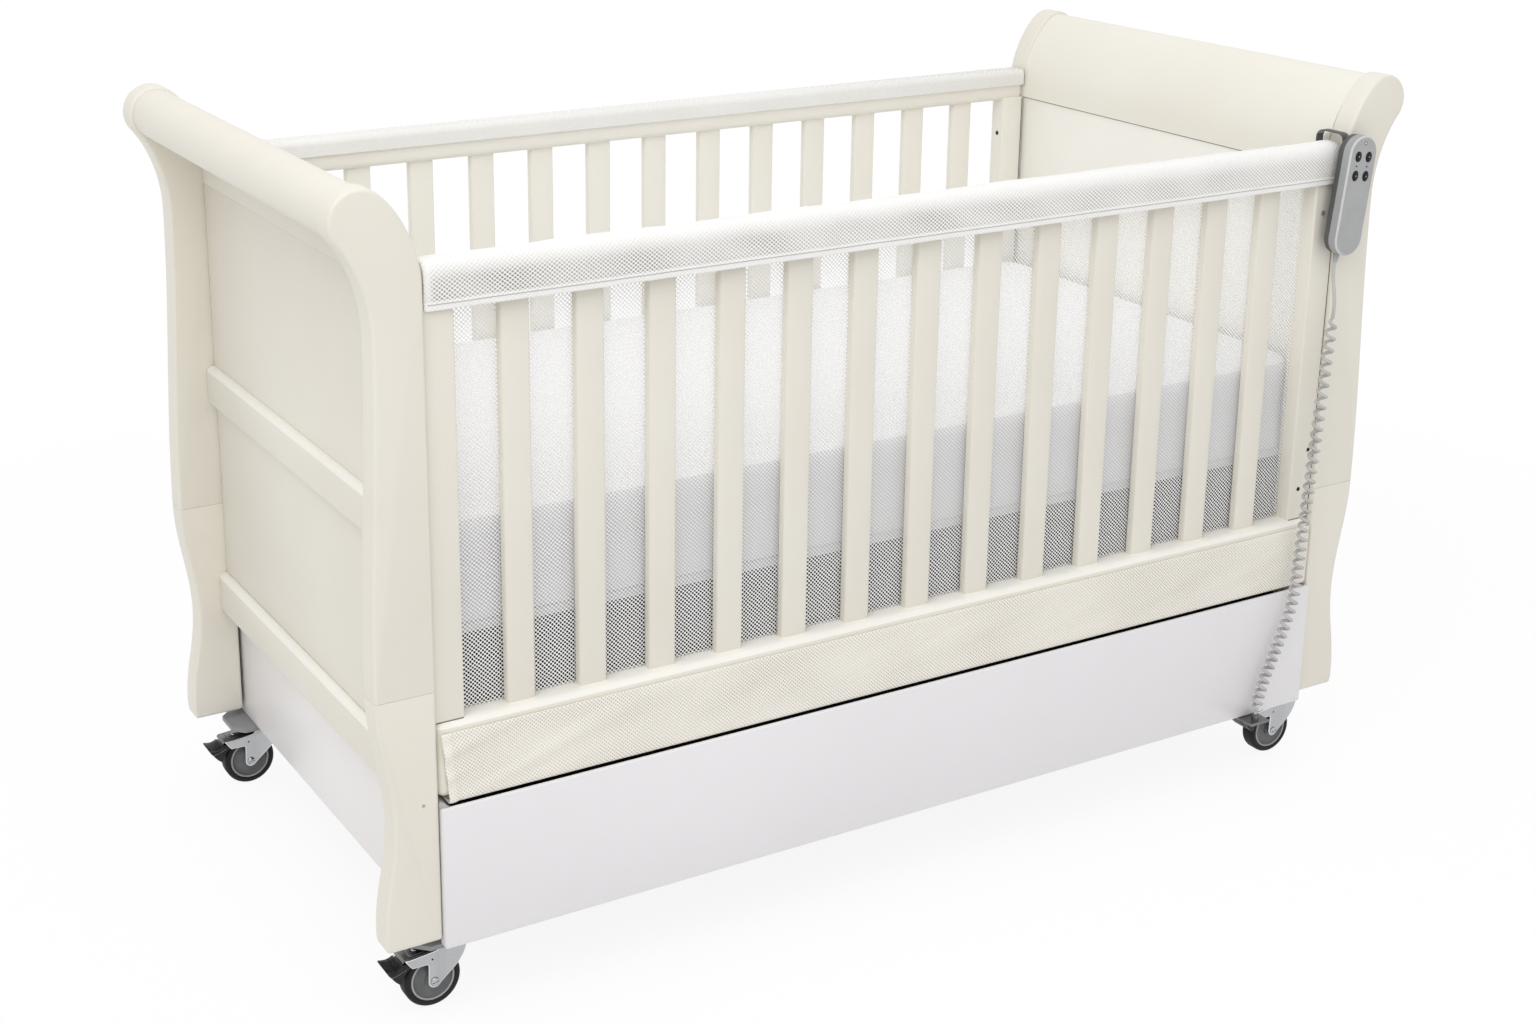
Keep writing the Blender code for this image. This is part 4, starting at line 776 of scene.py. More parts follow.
def makeSeams(s):  # painted shade: dark strips between each post and its leg, kept inside the groove, and under each crest's lower edge
    bm = bmesh.new()
    inset, soft = s["seamInset"], s["edge"] - s["seamInset"]
    ends = sorted((postBox[0].z, legBox[1].z))
    for side, hand in hands:
        for place in ("front", "rear"):
            low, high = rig.box(f"{hand}_{place}_post")
            spanX = sorted((side * (innerX + inset), side * (innerX + s["seamReach"] - inset)))
            corners = ((spanX[1] - soft, high.y - inset - soft, 0), (spanX[0] + soft, high.y - inset - soft, 90),
                       (spanX[0] + soft, low.y + inset + soft, 180), (spanX[1] - soft, low.y + inset + soft, 270))
            outline = [p for a, b, start in corners for p in arcPoints((a, b), soft, start, start + 90, 5)]
            addPlate(bm, outline, ends[0] - 0.0004, ends[1] + 0.0004, alongZ)
        low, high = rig.box(f"{hand}_crest")
        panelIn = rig.box(f"{hand}_panel")[0 if side > 0 else 1].x
        spanX = sorted((panelIn - side * 0.0004, panelIn + side * 0.001))
        addBar(bm, (spanX[0], low.y + 0.0005, low.z - s["crestLine"]), (spanX[1], high.y - 0.0005, low.z - 0.0001),
               0.0001, 1)
    finishPiece("postSeams", bm, "jointShade", "cot", "cream_paint")


makeSleighEnds(sleigh)
makeSeams(sleigh)
print("sleigh ends")

# slatted sides, and dark strips of painted shade in the fine joints of each stile with the post and with the rail
slats = dict(count=13, wide=0.037, thick=0.014, stileWide=0.040, stileThick=0.030, topTall=0.046, topThick=0.030,
             lowTall=0.0965, edge=0.003, topEdge=0.009, lowEdge=0.011, tenon=0.004)
joint = dict(wide=0.0016, inset=0.0004, sideIn=0.002, proud=0.0003, below=0.0012, above=0.0004, edge=0.0001)


def addCentred(bm, y, thick, spanX, spanZ, rounding, segments):  # a bar that lies evenly about y
    addBar(bm, (spanX[0], y - thick / 2, spanZ[0]), (spanX[1], y + thick / 2, spanZ[1]), rounding, segments)


def makeSide(place, s, j):
    node = f"{place}_side"
    low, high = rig.box(node)
    middle = (low.y + high.y) / 2
    topLow, lowTop = high.z - s["topTall"], low.z + s["lowTall"]
    upright = (lowTop - s["tenon"], topLow + s["tenon"])
    stiles = [(start, start + s["stileWide"]) for start in (low.x, high.x - s["stileWide"])]
    bm = bmesh.new()
    addBar(bm, low, (high.x, high.y, lowTop), s["lowEdge"], 4)
    addCentred(bm, middle, s["topThick"], (low.x, high.x), (topLow, high.z), s["topEdge"], 4)
    for stile in stiles:
        addCentred(bm, middle, s["stileThick"], stile, upright, s["edge"], 3)
    clear = high.x - low.x - 2 * s["stileWide"]
    pitch = (clear - s["count"] * s["wide"]) / (s["count"] + 1) + s["wide"]
    for k in range(s["count"]):
        start = (k - (s["count"] - 1) / 2) * pitch - s["wide"] / 2
        addCentred(bm, middle, s["thick"], (start, start + s["wide"]), upright, s["edge"], 3)
    # painted highlight: the top faces of the bottom rail wear a paler cream
    paintFaces(bm, lambda face: face.normal.z > 0.3 and face.calc_center_median().z < lowTop + 0.001)
    # painted light: the rear side wears the paler cream, the front side the plain one
    look = "creamPaint" if place == "front" else "panelCream"
    finishPiece(camelName(node), bm, [look, "paintedHighlightCream"], "cot", "cream_paint", [node], 40)
    # painted shade: dark strips in the joints of each stile with the post and with the rail
    bm = bmesh.new()
    for start in (low.x, high.x - j["wide"]):
        addCentred(bm, middle, s["stileThick"] - 2 * j["inset"], (start, start + j["wide"]), (lowTop, topLow),
                   j["edge"], 1)
    for left, right in stiles:
        addCentred(bm, middle, s["stileThick"] + 2 * j["proud"], (left + j["sideIn"], right - j["sideIn"]),
                   (lowTop - j["below"], lowTop + j["above"]), j["edge"], 1)
    finishPiece(f"{place}Joints", bm, "jointShade", "cot", "cream_paint")


for place in ("front", "rear"):
    makeSide(place, slats, joint)

# white strip on the rear top rail
strip = dict(wall=0.004, shoulder=0.010, hollow=0.006, lip=0.0012, edge=0.0008)


def makeStrip(s):
    low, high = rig.box("rear_rail_cap")
    middle, half = (low.y + high.y) / 2, (high.y - low.y) / 2
    inner = half - s["wall"]
    soft, lip, hollow = s["shoulder"], s["lip"], s["hollow"]
    top, ceiling = high.z - soft, high.z - s["wall"] - hollow
    points = [(half - lip, low.z), (half, low.z + lip)]
    points += arcPoints((half - soft, top), soft, 0, 90, 8) + arcPoints((soft - half, top), soft, 90, 180, 8)
    points += [(-half, low.z + lip), (lip - half, low.z), (-inner, low.z)]
    points += arcPoints((hollow - inner, ceiling), hollow, 180, 90, 3)
    points += arcPoints((inner - hollow, ceiling), hollow, 90, 0, 3) + [(inner, low.z)]
    bm = bmesh.new()
    addPlate(bm, [(middle + a, b) for a, b in points], low.x, high.x, alongX, s["edge"], 2)
    finishPiece("rearStrip", bm, "capWhite", "cot", "white_plastic", ["rear_rail_cap"], 40)


makeStrip(strip)
print("slatted sides")


# cloth: every sheet starts flat, at the size it is cut to; the cover and the wrap are then laid round their rails, and
# the mesh stands behind the slats

def flatCloth(length, width, along, across):
    bm = bmesh.new()
    bmesh.ops.create_grid(bm, x_segments=along, y_segments=across, size=0.5)
    bmesh.ops.scale(bm, vec=(length, width, 1), verts=bm.verts)
    uv = bm.loops.layers.uv.new("cloth")
    for face in bm.faces:
        for loop in face.loops:
            loop[uv].uv = loop.vert.co.xy
    return bm


def openWhere(bm, shareAt):  # how far the weave's holes show, from the place on the flat sheet
    layer = bm.verts.layers.float.new("openShare")
    for vert in bm.verts:
        vert[layer] = shareAt(vert.co.x, vert.co.y)


def ramp(value, stops):  # straight lines through (place, level)
    for (a, low), (b, high) in zip(stops, stops[1:]):
        if value < b:
            return low + (high - low) * max(0.0, (value - a) / (b - a))
    return stops[-1][1]


def wave(x, y, scale, seed):
    return noise.noise(Vector((x * scale, y * scale, seed)))


def roundedOff(share):  # how far a round edge has dropped, from its start to its end
    return 1 - math.sqrt(max(0.0, 1 - share * share))


def layOn(bm, profile, middleX, puff):  # profile in (y, z), walked from its first point; puff lifts the cloth
    line = [Vector(p) for p in profile]
    travel = lengthsAlong(line)
    half = travel[-1] / 2
    for vert in bm.verts:
        x, walked = vert.co.x, half - vert.co.y
        ahead = aheadAlong(line, travel, walked, 0.001)
        out = Vector((ahead.y, -ahead.x)).normalized()
        here = pointAlong(line, travel, walked) + out * puff(x, walked)
        vert.co = (middleX + x, here.x, here.y)


def thicken(piece, thickness):
    solid = piece.modifiers.new("thickness", "SOLIDIFY")
    solid.thickness = thickness
    solid.offset = 0.0
    solid.use_even_offset = True
    soft = piece.modifiers.new("soft", "SUBSURF")
    soft.levels = soft.render_levels = 1


# white spacer mesh folded over the front top rail; open says how far the weave shows on the way up from a hem. Apart
# from the plain hem, this is painted light and shade: the weave shows least over the top, which then reads paler, and
# most on the front face below it, which reads darker
cover = dict(thick=0.003, soft=0.014, along=230, across=52, hem=0.0085, hemRise=0.0012, ripple=0.0012, fold=0.0024,
             foldAt=0.026, foldHalf=0.020, stitch=0.0078, stitchWide=0.004, stitchDip=0.0009, stitchIn=0.004,
             thread=0.0006, endRound=0.012, endDip=0.0013, endHem=0.006, endFade=0.008, rightShare=0.56,
             open=((0.0, 0.10), (0.0085, 0.14), (0.013, 0.84), (0.030, 0.88), (0.036, 0.74), (0.043, 0.26),
                   (0.058, 0.05)))


def coverPuff(c, half, whole):
    def puff(x, walked):
        edge = min(walked, whole - walked)  # distance from the nearer hem
        rise = c["ripple"] * (wave(x, walked, 9.0, 1.7) + 0.5 * wave(x, walked, 31.0, 4.1))
        slack = max(0.0, 1 - ((edge - c["foldAt"]) / c["foldHalf"]) ** 2)  # flat at the hem and over the rail
        rise += c["fold"] * max(-0.3, wave(x + 0.9 * walked, walked * 0.3, 17.0, 7.7)) * slack
        if edge < c["hem"]:
            rise += c["hemRise"]
        elif edge < c["hem"] + c["stitchWide"]:
            rise -= c["stitchDip"]  # the stitch line draws the cloth in
        toEnd = half - abs(x)
        if toEnd < c["endRound"]:
            rise -= c["endDip"] * roundedOff(1 - toEnd / c["endRound"])
        return rise
    return puff


def makeCover(c):
    low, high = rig.box("top_rail_cover")
    inset, soft = c["thick"] / 2, c["soft"]
    front, back, top, foot = low.y + inset, high.y - inset, high.z - inset, low.z
    profile = [(front, foot)] + arcPoints((front + soft, top - soft), soft, 180, 90, 10)
    profile += arcPoints((back - soft, top - soft), soft, 90, 0, 10) + [(back, foot)]
    wide = lengthsAlong([Vector(p) for p in profile])[-1]
    long, middleX = high.x - low.x, (low.x + high.x) / 2

    def shareAt(x, across):
        down = wide / 2 - abs(across)
        ends = min(1.0, 0.2 + max(0.0, long / 2 - abs(x) - c["endHem"]) / c["endFade"])
        fade = 1 + (c["rightShare"] - 1) * (x / long + 0.5)  # painted light: the weave opens less towards the right end, which then reads paler
        return ramp(down, c["open"]) * ends * fade * (0.85 + 0.5 * wave(x + 0.9 * down, down, 14.0, 3.1))
    bm = flatCloth(long, wide, c["along"], c["across"])
    openWhere(bm, shareAt)
    puff = coverPuff(c, long / 2, wide)
    layOn(bm, profile, middleX, lambda x, walked: -puff(x, walked))
    piece = finishPiece("railCover", bm, "coverMesh", "cot", "white_fabric", ["top_rail_cover"], 180)
    thicken(piece, c["thick"])
    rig.sheet(piece, flat=(wide, long), held="folded", rests_on=["frontSide"])
    up = c["stitch"]  # a row of stitching along the front hem
    spots = [(low.x + c["stitchIn"] + (long - 2 * c["stitchIn"]) * i / 200) for i in range(201)]
    row = [Vector((x, front - inset - puff(x - middleX, up), foot + up)) for x in spots]
    finishPiece("coverStitch", tubeMesh("row", row, c["thread"], 8), "threadGrey", "cot", "white_fabric", (), 60)


makeCover(cover)

# cream spacer mesh wrapped round the front bottom rail; its left end is cut at a slant and turned over
wrap = dict(thick=0.0025, soft=0.003, along=300, across=40, ripple=0.0016, crease=0.0085, slant=0.009, slantStart=0.002,
            slantFade=0.09, drop=0.0038, endHem=0.013, hemRise=0.0014, stitchWide=0.004, stitchDip=0.0006,
            endRound=0.010, endDip=0.003, deepest=0.0012)


def wrapPuff(c, half, tall):
    def puff(x, walked):
        calm = max(0.0, 1 - ((walked - tall / 2) / (tall / 2)) ** 2)  # straight along both edges
        rise = c["ripple"] * (wave(x, walked * 2, 6.0, 8.3) + 0.4 * wave(x, walked, 26.0, 2.9)) * calm
        slant = x * 0.55 + walked * 1.9  # soft slanting folds, strongest towards the left end
        near = 0.25 + 0.75 * math.exp(-(half + x) / 0.26)
        rise += c["crease"] * max(-0.15, wave(slant, x * 0.2, 22.0, 5.5)) * calm * near
        if half + x < c["endHem"]:
            rise += c["hemRise"]
        elif half + x < c["endHem"] + c["stitchWide"]:
            rise -= c["stitchDip"]
        if half - x < c["endRound"]:
            rise -= c["endDip"] * roundedOff(1 - (half - x) / c["endRound"])
        return max(rise, -c["deepest"])
    return puff


def makeWrap(c):
    low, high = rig.box("bottom_rail_cover")
    inset, soft = c["thick"] / 2, c["soft"]
    front, back, top, foot = low.y + inset, high.y - inset, high.z - 0.0005, low.z + inset - c["drop"]
    profile = [(front + 0.0006, top), (front, top - 0.002)] + arcPoints((front + soft, foot + soft), soft, 180, 270, 6)
    profile += arcPoints((back - soft, foot + soft), soft, 270, 350, 5)
    tall = top - foot
    wide = lengthsAlong([Vector(p) for p in profile])[-1]
    long = high.x - low.x
    half = long / 2
    bm = flatCloth(long, wide, c["along"], c["across"])
    openWhere(bm, lambda x, across: (0.35 if half + x < c["endHem"] else 0.8) + 0.5 * wave(x, across * 2, 9.0, 1.3))
    starts = [(v, v.co.x, wide / 2 - v.co.y) for v in bm.verts]
    layOn(bm, profile, (low.x + high.x) / 2, wrapPuff(c, half, tall))
    for vert, x, walked in starts:
        slant = c["slantStart"] + c["slant"] * min(1.0, walked / tall)
        vert.co.x += slant * math.exp(-(half + x) / c["slantFade"])
    piece = finishPiece("railWrap", bm, "wrapMesh", "cot", "cream_fabric", ["bottom_rail_cover"], 180)
    thicken(piece, c["thick"])
    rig.sheet(piece, flat=(wide, long), held="stretched", rests_on=["frontSide"])


makeWrap(wrap)

# fine see-through mesh behind the slats
liner = dict(along=90, across=36, sag=0.0008)


def makeLiner(c):
    low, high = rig.box("mesh_liner")
    long, tall = high.x - low.x, high.z - low.z
    bm = flatCloth(long, tall, c["along"], c["across"])
    openWhere(bm, lambda x, up: 1.0)
    middle = (low + high) / 2
    for vert in bm.verts:
        x, up = vert.co.x, vert.co.y
        vert.co = (middle.x + x, middle.y + c["sag"] * wave(x, up, 6.0, 3.3), middle.z + up)
    piece = finishPiece("meshLiner", bm, "linerMesh", "cot", "white_fabric", ["mesh_liner"], 180)
    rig.sheet(piece, flat=(tall, long), held="stretched", rests_on=["frontSide"])


makeLiner(liner)
print("rail cover, rail wrap and mesh")

# mattress: a crowned block with soft edges, sides drawn in at the seam round its middle
mattress = dict(corner=0.045, soft=0.015, foot=0.004, crown=0.007, crownFall=0.05, drawn=0.004, seam=0.0022,
                seamHalf=0.003, ripple=0.0015, step=0.03,
                rows=(-0.045, -0.03, -0.015, -0.006, -0.002, 0.002, 0.006, 0.015, 0.03, 0.045))


def sliceAt(bm, spot, normal):
    bmesh.ops.bisect_plane(bm, geom=bm.verts[:] + bm.edges[:] + bm.faces[:], dist=1e-6, plane_co=spot, plane_no=normal)


def mattressBlock(m, middle, half):
    bm = bmesh.new()
    verts = bmesh.ops.create_cube(bm, size=1.0)["verts"]
    bmesh.ops.scale(bm, vec=(2 * half.x, 2 * half.y, 2 * half.z - m["crown"]), verts=verts)
    bmesh.ops.translate(bm, vec=middle - Vector((0, 0, m["crown"] / 2)), verts=verts)
    bevelEdges(bm, [e for e in bm.edges if abs(e.verts[0].co.z - e.verts[1].co.z) > 0.05], m["corner"], 8)
    flat = [e for e in bm.edges if abs(e.verts[0].co.z - e.verts[1].co.z) < 1e-5 and len(e.link_faces) == 2
            and abs(e.link_faces[0].normal.z - e.link_faces[1].normal.z) > 0.5]
    for above, soft in ((True, m["soft"]), (False, m["foot"])):
        bevelEdges(bm, [e for e in flat if e.is_valid and (e.verts[0].co.z > middle.z) == above], soft, 6)
    for axis in (0, 1):
        count = int(2 * half[axis] / m["step"])
        for k in range(1, count):
            spot = Vector(middle)
            spot[axis] += -half[axis] + 2 * half[axis] * k / count
            sliceAt(bm, spot, Matrix.Identity(3)[axis])
    for rise in m["rows"]:
        sliceAt(bm, middle + Vector((0, 0, rise)), (0, 0, 1))
    bmesh.ops.triangulate(bm, faces=[f for f in bm.faces if len(f.verts) > 4])
    return bm


def makeMattress(m):
    low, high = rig.box("mattress")
    middle, half = (low + high) / 2, (high - low) / 2
    bm = mattressBlock(m, middle, half)
    uv = bm.loops.layers.uv.new("cloth")
    for vert in bm.verts:
        away = vert.co - middle
        toSide = (half.x - abs(away.x), half.y - abs(away.y))
        edge = min(toSide)
        if away.z > half.z - m["crown"] - 0.001:
            vert.co.z += m["crown"] * (1 - math.exp(-max(edge - m["soft"], 0.0) / m["crownFall"]))
            vert.co.z += m["ripple"] * wave(vert.co.x, vert.co.y, 5.0, 6.1) * min(1.0, edge / m["crownFall"])
        if edge < m["soft"]:
            pull = m["drawn"] * max(0.0, 1 - (away.z / (0.8 * half.z)) ** 2)
            pull += m["seam"] * math.exp(-(away.z / m["seamHalf"]) ** 2)
            pull -= m["ripple"] * wave(vert.co.x + vert.co.y, away.z, 8.0, 9.4) * max(0.0, 1 - abs(away.z) / half.z)
            for axis in (0, 1):
                if toSide[axis] < m["soft"]:
                    vert.co[axis] -= math.copysign(pull, away[axis])
    # painted shade: faces that are not near level wear the darker ticking
    paintFaces(bm, lambda face: face.normal.z < 0.75)
    for face in bm.faces:
        steep = abs(face.normal.z) < 0.6
        sidelong = abs(face.normal.x) > abs(face.normal.y)
        for loop in face.loops:
            spot = loop.vert.co
            loop[uv].uv = (spot.y if steep and sidelong else spot.x, spot.z if steep else spot.y)
    openWhere(bm, lambda x, y: 1.0)
    piece = finishPiece("mattressPad", bm, ["ticking", "tickingSide"], "deck", "mattress_ticking", ["mattress"], 180)
    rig.padded(piece, fill=0.85)


makeMattress(mattress)
print("mattress")

# base box: each board has a narrow top edge that slopes away inside
board = dict(lip=0.006, soft=0.0018, longer=0.0033, edge=0.0009)


def boardOutline(outer, inner, low, high, b):  # across the board, from its outer face to its inner one
    sign = 1 if inner > outer else -1
    soft, lip, thick = b["soft"], b["lip"], abs(inner - outer)
    points = arcPoints((soft, low + soft), soft, 270, 180, 3) + arcPoints((soft, high - soft), soft, 180, 90, 3)
    points += [(lip - 0.001, high), (lip, high - 0.0006), (thick, high - thick + lip), (thick, low)]
    return [(outer + sign * a, z) for a, z in points]


def makeBoards(b):
    for place in ("front", "rear", "left", "right"):
        node = f"base_{place}_board"
        low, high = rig.box(node)
        if place in ("front", "rear"):
            faces, ends, way, look = (low.y, high.y), (low.x - b["longer"], high.x + b["longer"]), alongX, "whiteBoard"
        else:
            # painted light: the end boards wear the paler white
            faces, ends, way, look = (low.x, high.x), (low.y, high.y), alongY, "endBoard"
        outer, inner = faces if place in ("front", "left") else reversed(faces)
        bm = bmesh.new()
        addPlate(bm, boardOutline(outer, inner, low.z, high.z, b), *ends, way, b["edge"], 2)
        finishPiece(f"{place}Board", bm, look, "base", "white_board", [node], 30)


makeBoards(board)

# painted shade: a black sheet behind the front and the rear board, which darkens the gap under the sides, and dark
# sheets inside the ends, which darken the space under the deck
gapShade = dict(down=0.023, deep=0.075, thick=0.002, sideGap=0.0005, edge=0.0004)
endShade = dict(thick=0.0022, half=0.328, above=0.008, below=0.022, edge=0.0004)


def makeGapShade(s):
    bm = bmesh.new()
    left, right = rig.box("base_left_board")[1].x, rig.box("base_right_board")[0].x
    for place, sign in (("front", 1), ("rear", -1)):
        low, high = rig.box(f"base_{place}_board")
        inner = high.y if place == "front" else low.y
        ends = sorted((inner + sign * 0.0002, inner + sign * s["deep"]))
        top = high.z - s["down"]
        addBar(bm, (left + s["sideGap"], ends[0], top - s["thick"]), (right - s["sideGap"], ends[1], top), s["edge"], 1)
    finishPiece("gapShadeSheet", bm, "shadowBlack", "base", "black_rubber")


def makeEndShade(s):
    bm = bmesh.new()
    bottom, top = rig.box("base_front_board")[1].z + s["above"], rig.box("mattress")[0].z - s["below"]
    for side, hand in hands:
        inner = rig.box(f"{hand}_panel")[0 if side > 0 else 1].x
        ends = sorted((inner - side * 0.0004, inner - side * s["thick"]))
        addBar(bm, (ends[0], -s["half"], bottom), (ends[1], s["half"], top), s["edge"], 1)
    finishPiece("endShadeSheets", bm, "graphite", "cot", "dark_frame")


makeGapShade(gapShade)
makeEndShade(endShade)

# hidden frame: the solids are right as they are
hiddenLooks = dict(base_chassis="steelPaint", left_column_outer="steelPaint", right_column_outer="steelPaint",
                   left_column_middle="zinc", right_column_middle="zinc", lift_frame="graphite",
                   control_box="handsetDark", mattress_deck="darkBoard", cord_gland="darkZinc")
for node, look in hiddenLooks.items():
    nodes[node].data.materials.clear()
    nodes[node].data.materials.append(looks[look])

# the deck is dark, with a pale band round the board's edge
deckBand = dict(tone=(212, 211, 218), tall=0.015)


def paintDeckBand(d):
    tree = looks["darkBoard"].node_tree
    shader = tree.nodes["Principled BSDF"]
    spot = addNode(tree, "SeparateXYZ", {"Vector": addNode(tree, "TexCoord").outputs["Object"]})
    above = mathNode(tree, "GREATER_THAN", spot.outputs["Z"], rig.box("mattress")[0].z - d["tall"])
    dark = shader.inputs["Base Color"].links[0].from_socket
    band = addNode(tree, "Mix", {"Factor": above, "A": dark, "B": srgb(*d["tone"])}, data_type="RGBA")
    setInputs(tree, shader, {"Base Color": band.outputs["Result"]})


paintDeckBand(deckBand)
print("base box and lift")

# castors, measured from the axle: x along the wheel, z up
castor = dict(cheekIn=0.0145, cheekThick=0.0025, steps=64, hub=0.029, hubGap=0.0003, treadSoft=0.0055, treadIn=0.0012,
              boltRadius=0.0056, headRadius=0.0155, raceRadius=0.0236, housingHalf=0.0143)
hubDish = ((0.0043, 0.0002), (0.0082, 0.0002), (0.0092, 0.0009), (0.0098, 0.0048), (0.0112, 0.0058),  # radius, depth
           (0.0175, 0.0064), (0.0225, 0.0058), (0.0252, 0.0038), (0.0262, 0.0016), (0.0268, 0.0009),
           (0.0282, 0.0009), (castor["hub"], 0.0016))


def placedAt(origin):
    return lambda a, b, depth: Vector((origin.x + a, origin.y + depth, origin.z + b))


def addRing(bm, inner, outer, start, end, centre, axis, steps):  # a pin where the inner radius is 0
    addTurned(bm, [(inner, start), (outer, start), (outer, end), (inner, end)], centre, axis, steps)


def makeWheel(c, corner, centre, radius, half):
    body = f"{corner}_wheel"
    soft, inside, edge = c["treadSoft"], c["hub"] + c["hubGap"], half - c["treadIn"]
    tread = [(inside, -edge)] + arcPoints((radius - soft, soft - half), soft, -110, 0, 8)
    tread += arcPoints((radius - soft, half - soft), soft, 0, 110, 8) + [(inside, edge)]
    bm = bmesh.new()
    addTurned(bm, tread, centre, (0, 1, 0), c["steps"])
    finishPiece(f"{corner}Tyre", bm, "tyreRubber", body, "black_rubber", [f"{corner}_tyre"], 50)
    profile = [(r, half - deep) for r, deep in hubDish]
    profile += [(r, -a) for r, a in reversed(profile)]
    bm = bmesh.new()
    addTurned(bm, profile, centre, (0, 1, 0), c["steps"])

    def onRing(face):
        spot = face.calc_center_median() - centre
        return 0.0262 < math.hypot(spot.x, spot.z) < 0.0288 and abs(spot.y) > half - 0.0014
    paintFaces(bm, onRing)
    finishPiece(f"{corner}Hub", bm, ["hubGrey", "hubRing"], body, "hub_grey", [f"{corner}_hub"], 40)


def cheekOutline():
    points = [(0.0300, 0.0478), (0.0400, 0.0478)]
    points += bezierPoints((0.0436, 0.0470), (0.0452, 0.0380), (0.0408, 0.0285), (0.0330, 0.0183), 8)
    points += bezierPoints((0.0330, 0.0183), (0.0262, 0.0105), (0.0150, 0.0030), (0.0070, -0.0049), 8)
    points += arcPoints((0.0, 0.0), 0.0085, -35, -180, 14)
    points += arcPoints((-0.0104, 0.0226), 0.0026, 0, 90, 5) + [(-0.0280, 0.0254)]
    points += bezierPoints((-0.0290, 0.0258), (-0.0318, 0.0285), (-0.0350, 0.0335), (-0.0378, 0.0374), 4)
    points += [(-0.0378, 0.0374), (-0.0366, 0.0383)]
    points += bezierPoints((-0.0340, 0.0384), (-0.0220, 0.0394), (-0.0080, 0.0406), (0.0040, 0.0424), 6)
    return points + [(0.0040, 0.0424), (0.0100, 0.0478)]


def makeFork(c, corner, axle):
    inner, thick, bolt = c["cheekIn"], c["cheekThick"], c["boltRadius"]
    bm = bmesh.new()
    for start in (-inner - thick, inner):
        addPlate(bm, cheekOutline(), start, start + thick, placedAt(axle), 0.0011, 2)
    paintFaces(bm, lambda face: 0.2 < abs(face.normal.y) < 0.95)  # painted highlight on the rounded edges
    dome = [(0.0, 0.0030), (bolt * 0.5, 0.0028), (bolt * 0.85, 0.0019), (bolt, 0.0006), (bolt, -0.001), (0.0, -0.001)]
    for sign in (-1, 1):
        addTurned(bm, [(r, sign * (inner + thick) + sign * a) for r, a in dome], axle, (0, 1, 0), 28)
    finishPiece(f"{corner}Fork", bm, ["zinc", "zincEdgeHighlight"], f"{corner}_swivel", "zinc", [f"{corner}_fork"], 38)


def makeRace(c, corner, axle, swivel):  # dark swivel race, kept behind the near cheek
    low, top = axle.z + 0.0445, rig.box(f"{corner}_fork")[1].z
    head, wide = c["headRadius"], c["raceRadius"]
    race = [(0.0, low), (head, low), (head, top - 0.0062), (wide - 0.001, top - 0.0058), (wide, top - 0.0048),
            (wide - 0.0012, top - 0.0034), (wide - 0.0012, top - 0.0024), (wide, top - 0.0012), (wide - 0.001, top),
            (0.0, top)]
    bm = bmesh.new()
    addTurned(bm, race, (swivel.x, swivel.y, 0), (0, 0, 1), c["steps"])
    for sign in (-1, 1):  # slot across each bolt and the small hole above it
        face = sign * (c["cheekIn"] + c["cheekThick"])
        slot = addBar(bm, (-0.0042, -0.00035, -0.00035), (0.0042, 0.00035, 0.00035), 0.0001, 1)
        bmesh.ops.rotate(bm, cent=(0, 0, 0), matrix=Matrix.Rotation(math.radians(-14), 3, "Y"), verts=slot)
        bmesh.ops.translate(bm, vec=axle + Vector((0, face + sign * 0.0027, 0)), verts=slot)
        addRing(bm, 0.0, 0.0013, face - sign * 0.0006, face + sign * 0.0001, axle + Vector((-0.0024, 0, 0.0313)),
                (0, 1, 0), 14)
    finishPiece(f"{corner}Race", bm, "blackPlastic", f"{corner}_swivel", "black_plastic")


def makeHousing(c, corner, axle):  # brake housing between the cheeks, with its raised plate and rivet
    place, body = placedAt(axle), f"{corner}_swivel"
    shell = [(0.0040, 0.0424), (-0.0330, 0.0394)]
    shell += arcPoints((-0.0372, 0.0358), 0.0036, 75, 175, 5) + [(-0.0408, 0.0350), (-0.0394, 0.0350)]
    shell += [(-0.0384, 0.0368), (-0.0340, 0.0376), (0.0040, 0.0405)]
    bm = bmesh.new()
    addPlate(bm, shell, -c["housingHalf"], c["housingHalf"], place, 0.0006, 2)
    finishPiece(f"{corner}Housing", bm, "darkZinc", body, "zinc")
    slope = math.atan2(0.0030, 0.0370)
    lay = Matrix.Translation(place(-0.0208, 0.0406, 0.0)) @ Matrix.Rotation(-slope, 4, "Y")
    bm = bmesh.new()
    addBar(bm, (-0.0105, -0.0112, -0.0010), (0.0105, 0.0112, 0.0007), 0.0005, 2)
    bmesh.ops.transform(bm, matrix=lay, verts=bm.verts)
    finishPiece(f"{corner}Plate", bm, "darkZinc", body, "zinc")
    rivet = [(0.0, 0.0010), (0.0012, 0.0010), (0.0016, 0.0022), (0.0026, 0.0020), (0.0034, 0.0012), (0.0036, 0.0004),
             (0.0, 0.0004)]
    bm = bmesh.new()
    addTurned(bm, rivet, (0.0012, 0, 0), (0, 0, 1), 24)
    bmesh.ops.transform(bm, matrix=lay, verts=bm.verts)
    finishPiece(f"{corner}Rivet", bm, "zinc", body, "zinc")


pedal = dict(half=0.0140, padHalf=0.0190, padStart=-0.0102, edge=0.0008, padEdge=0.0012, crease=0.0005)


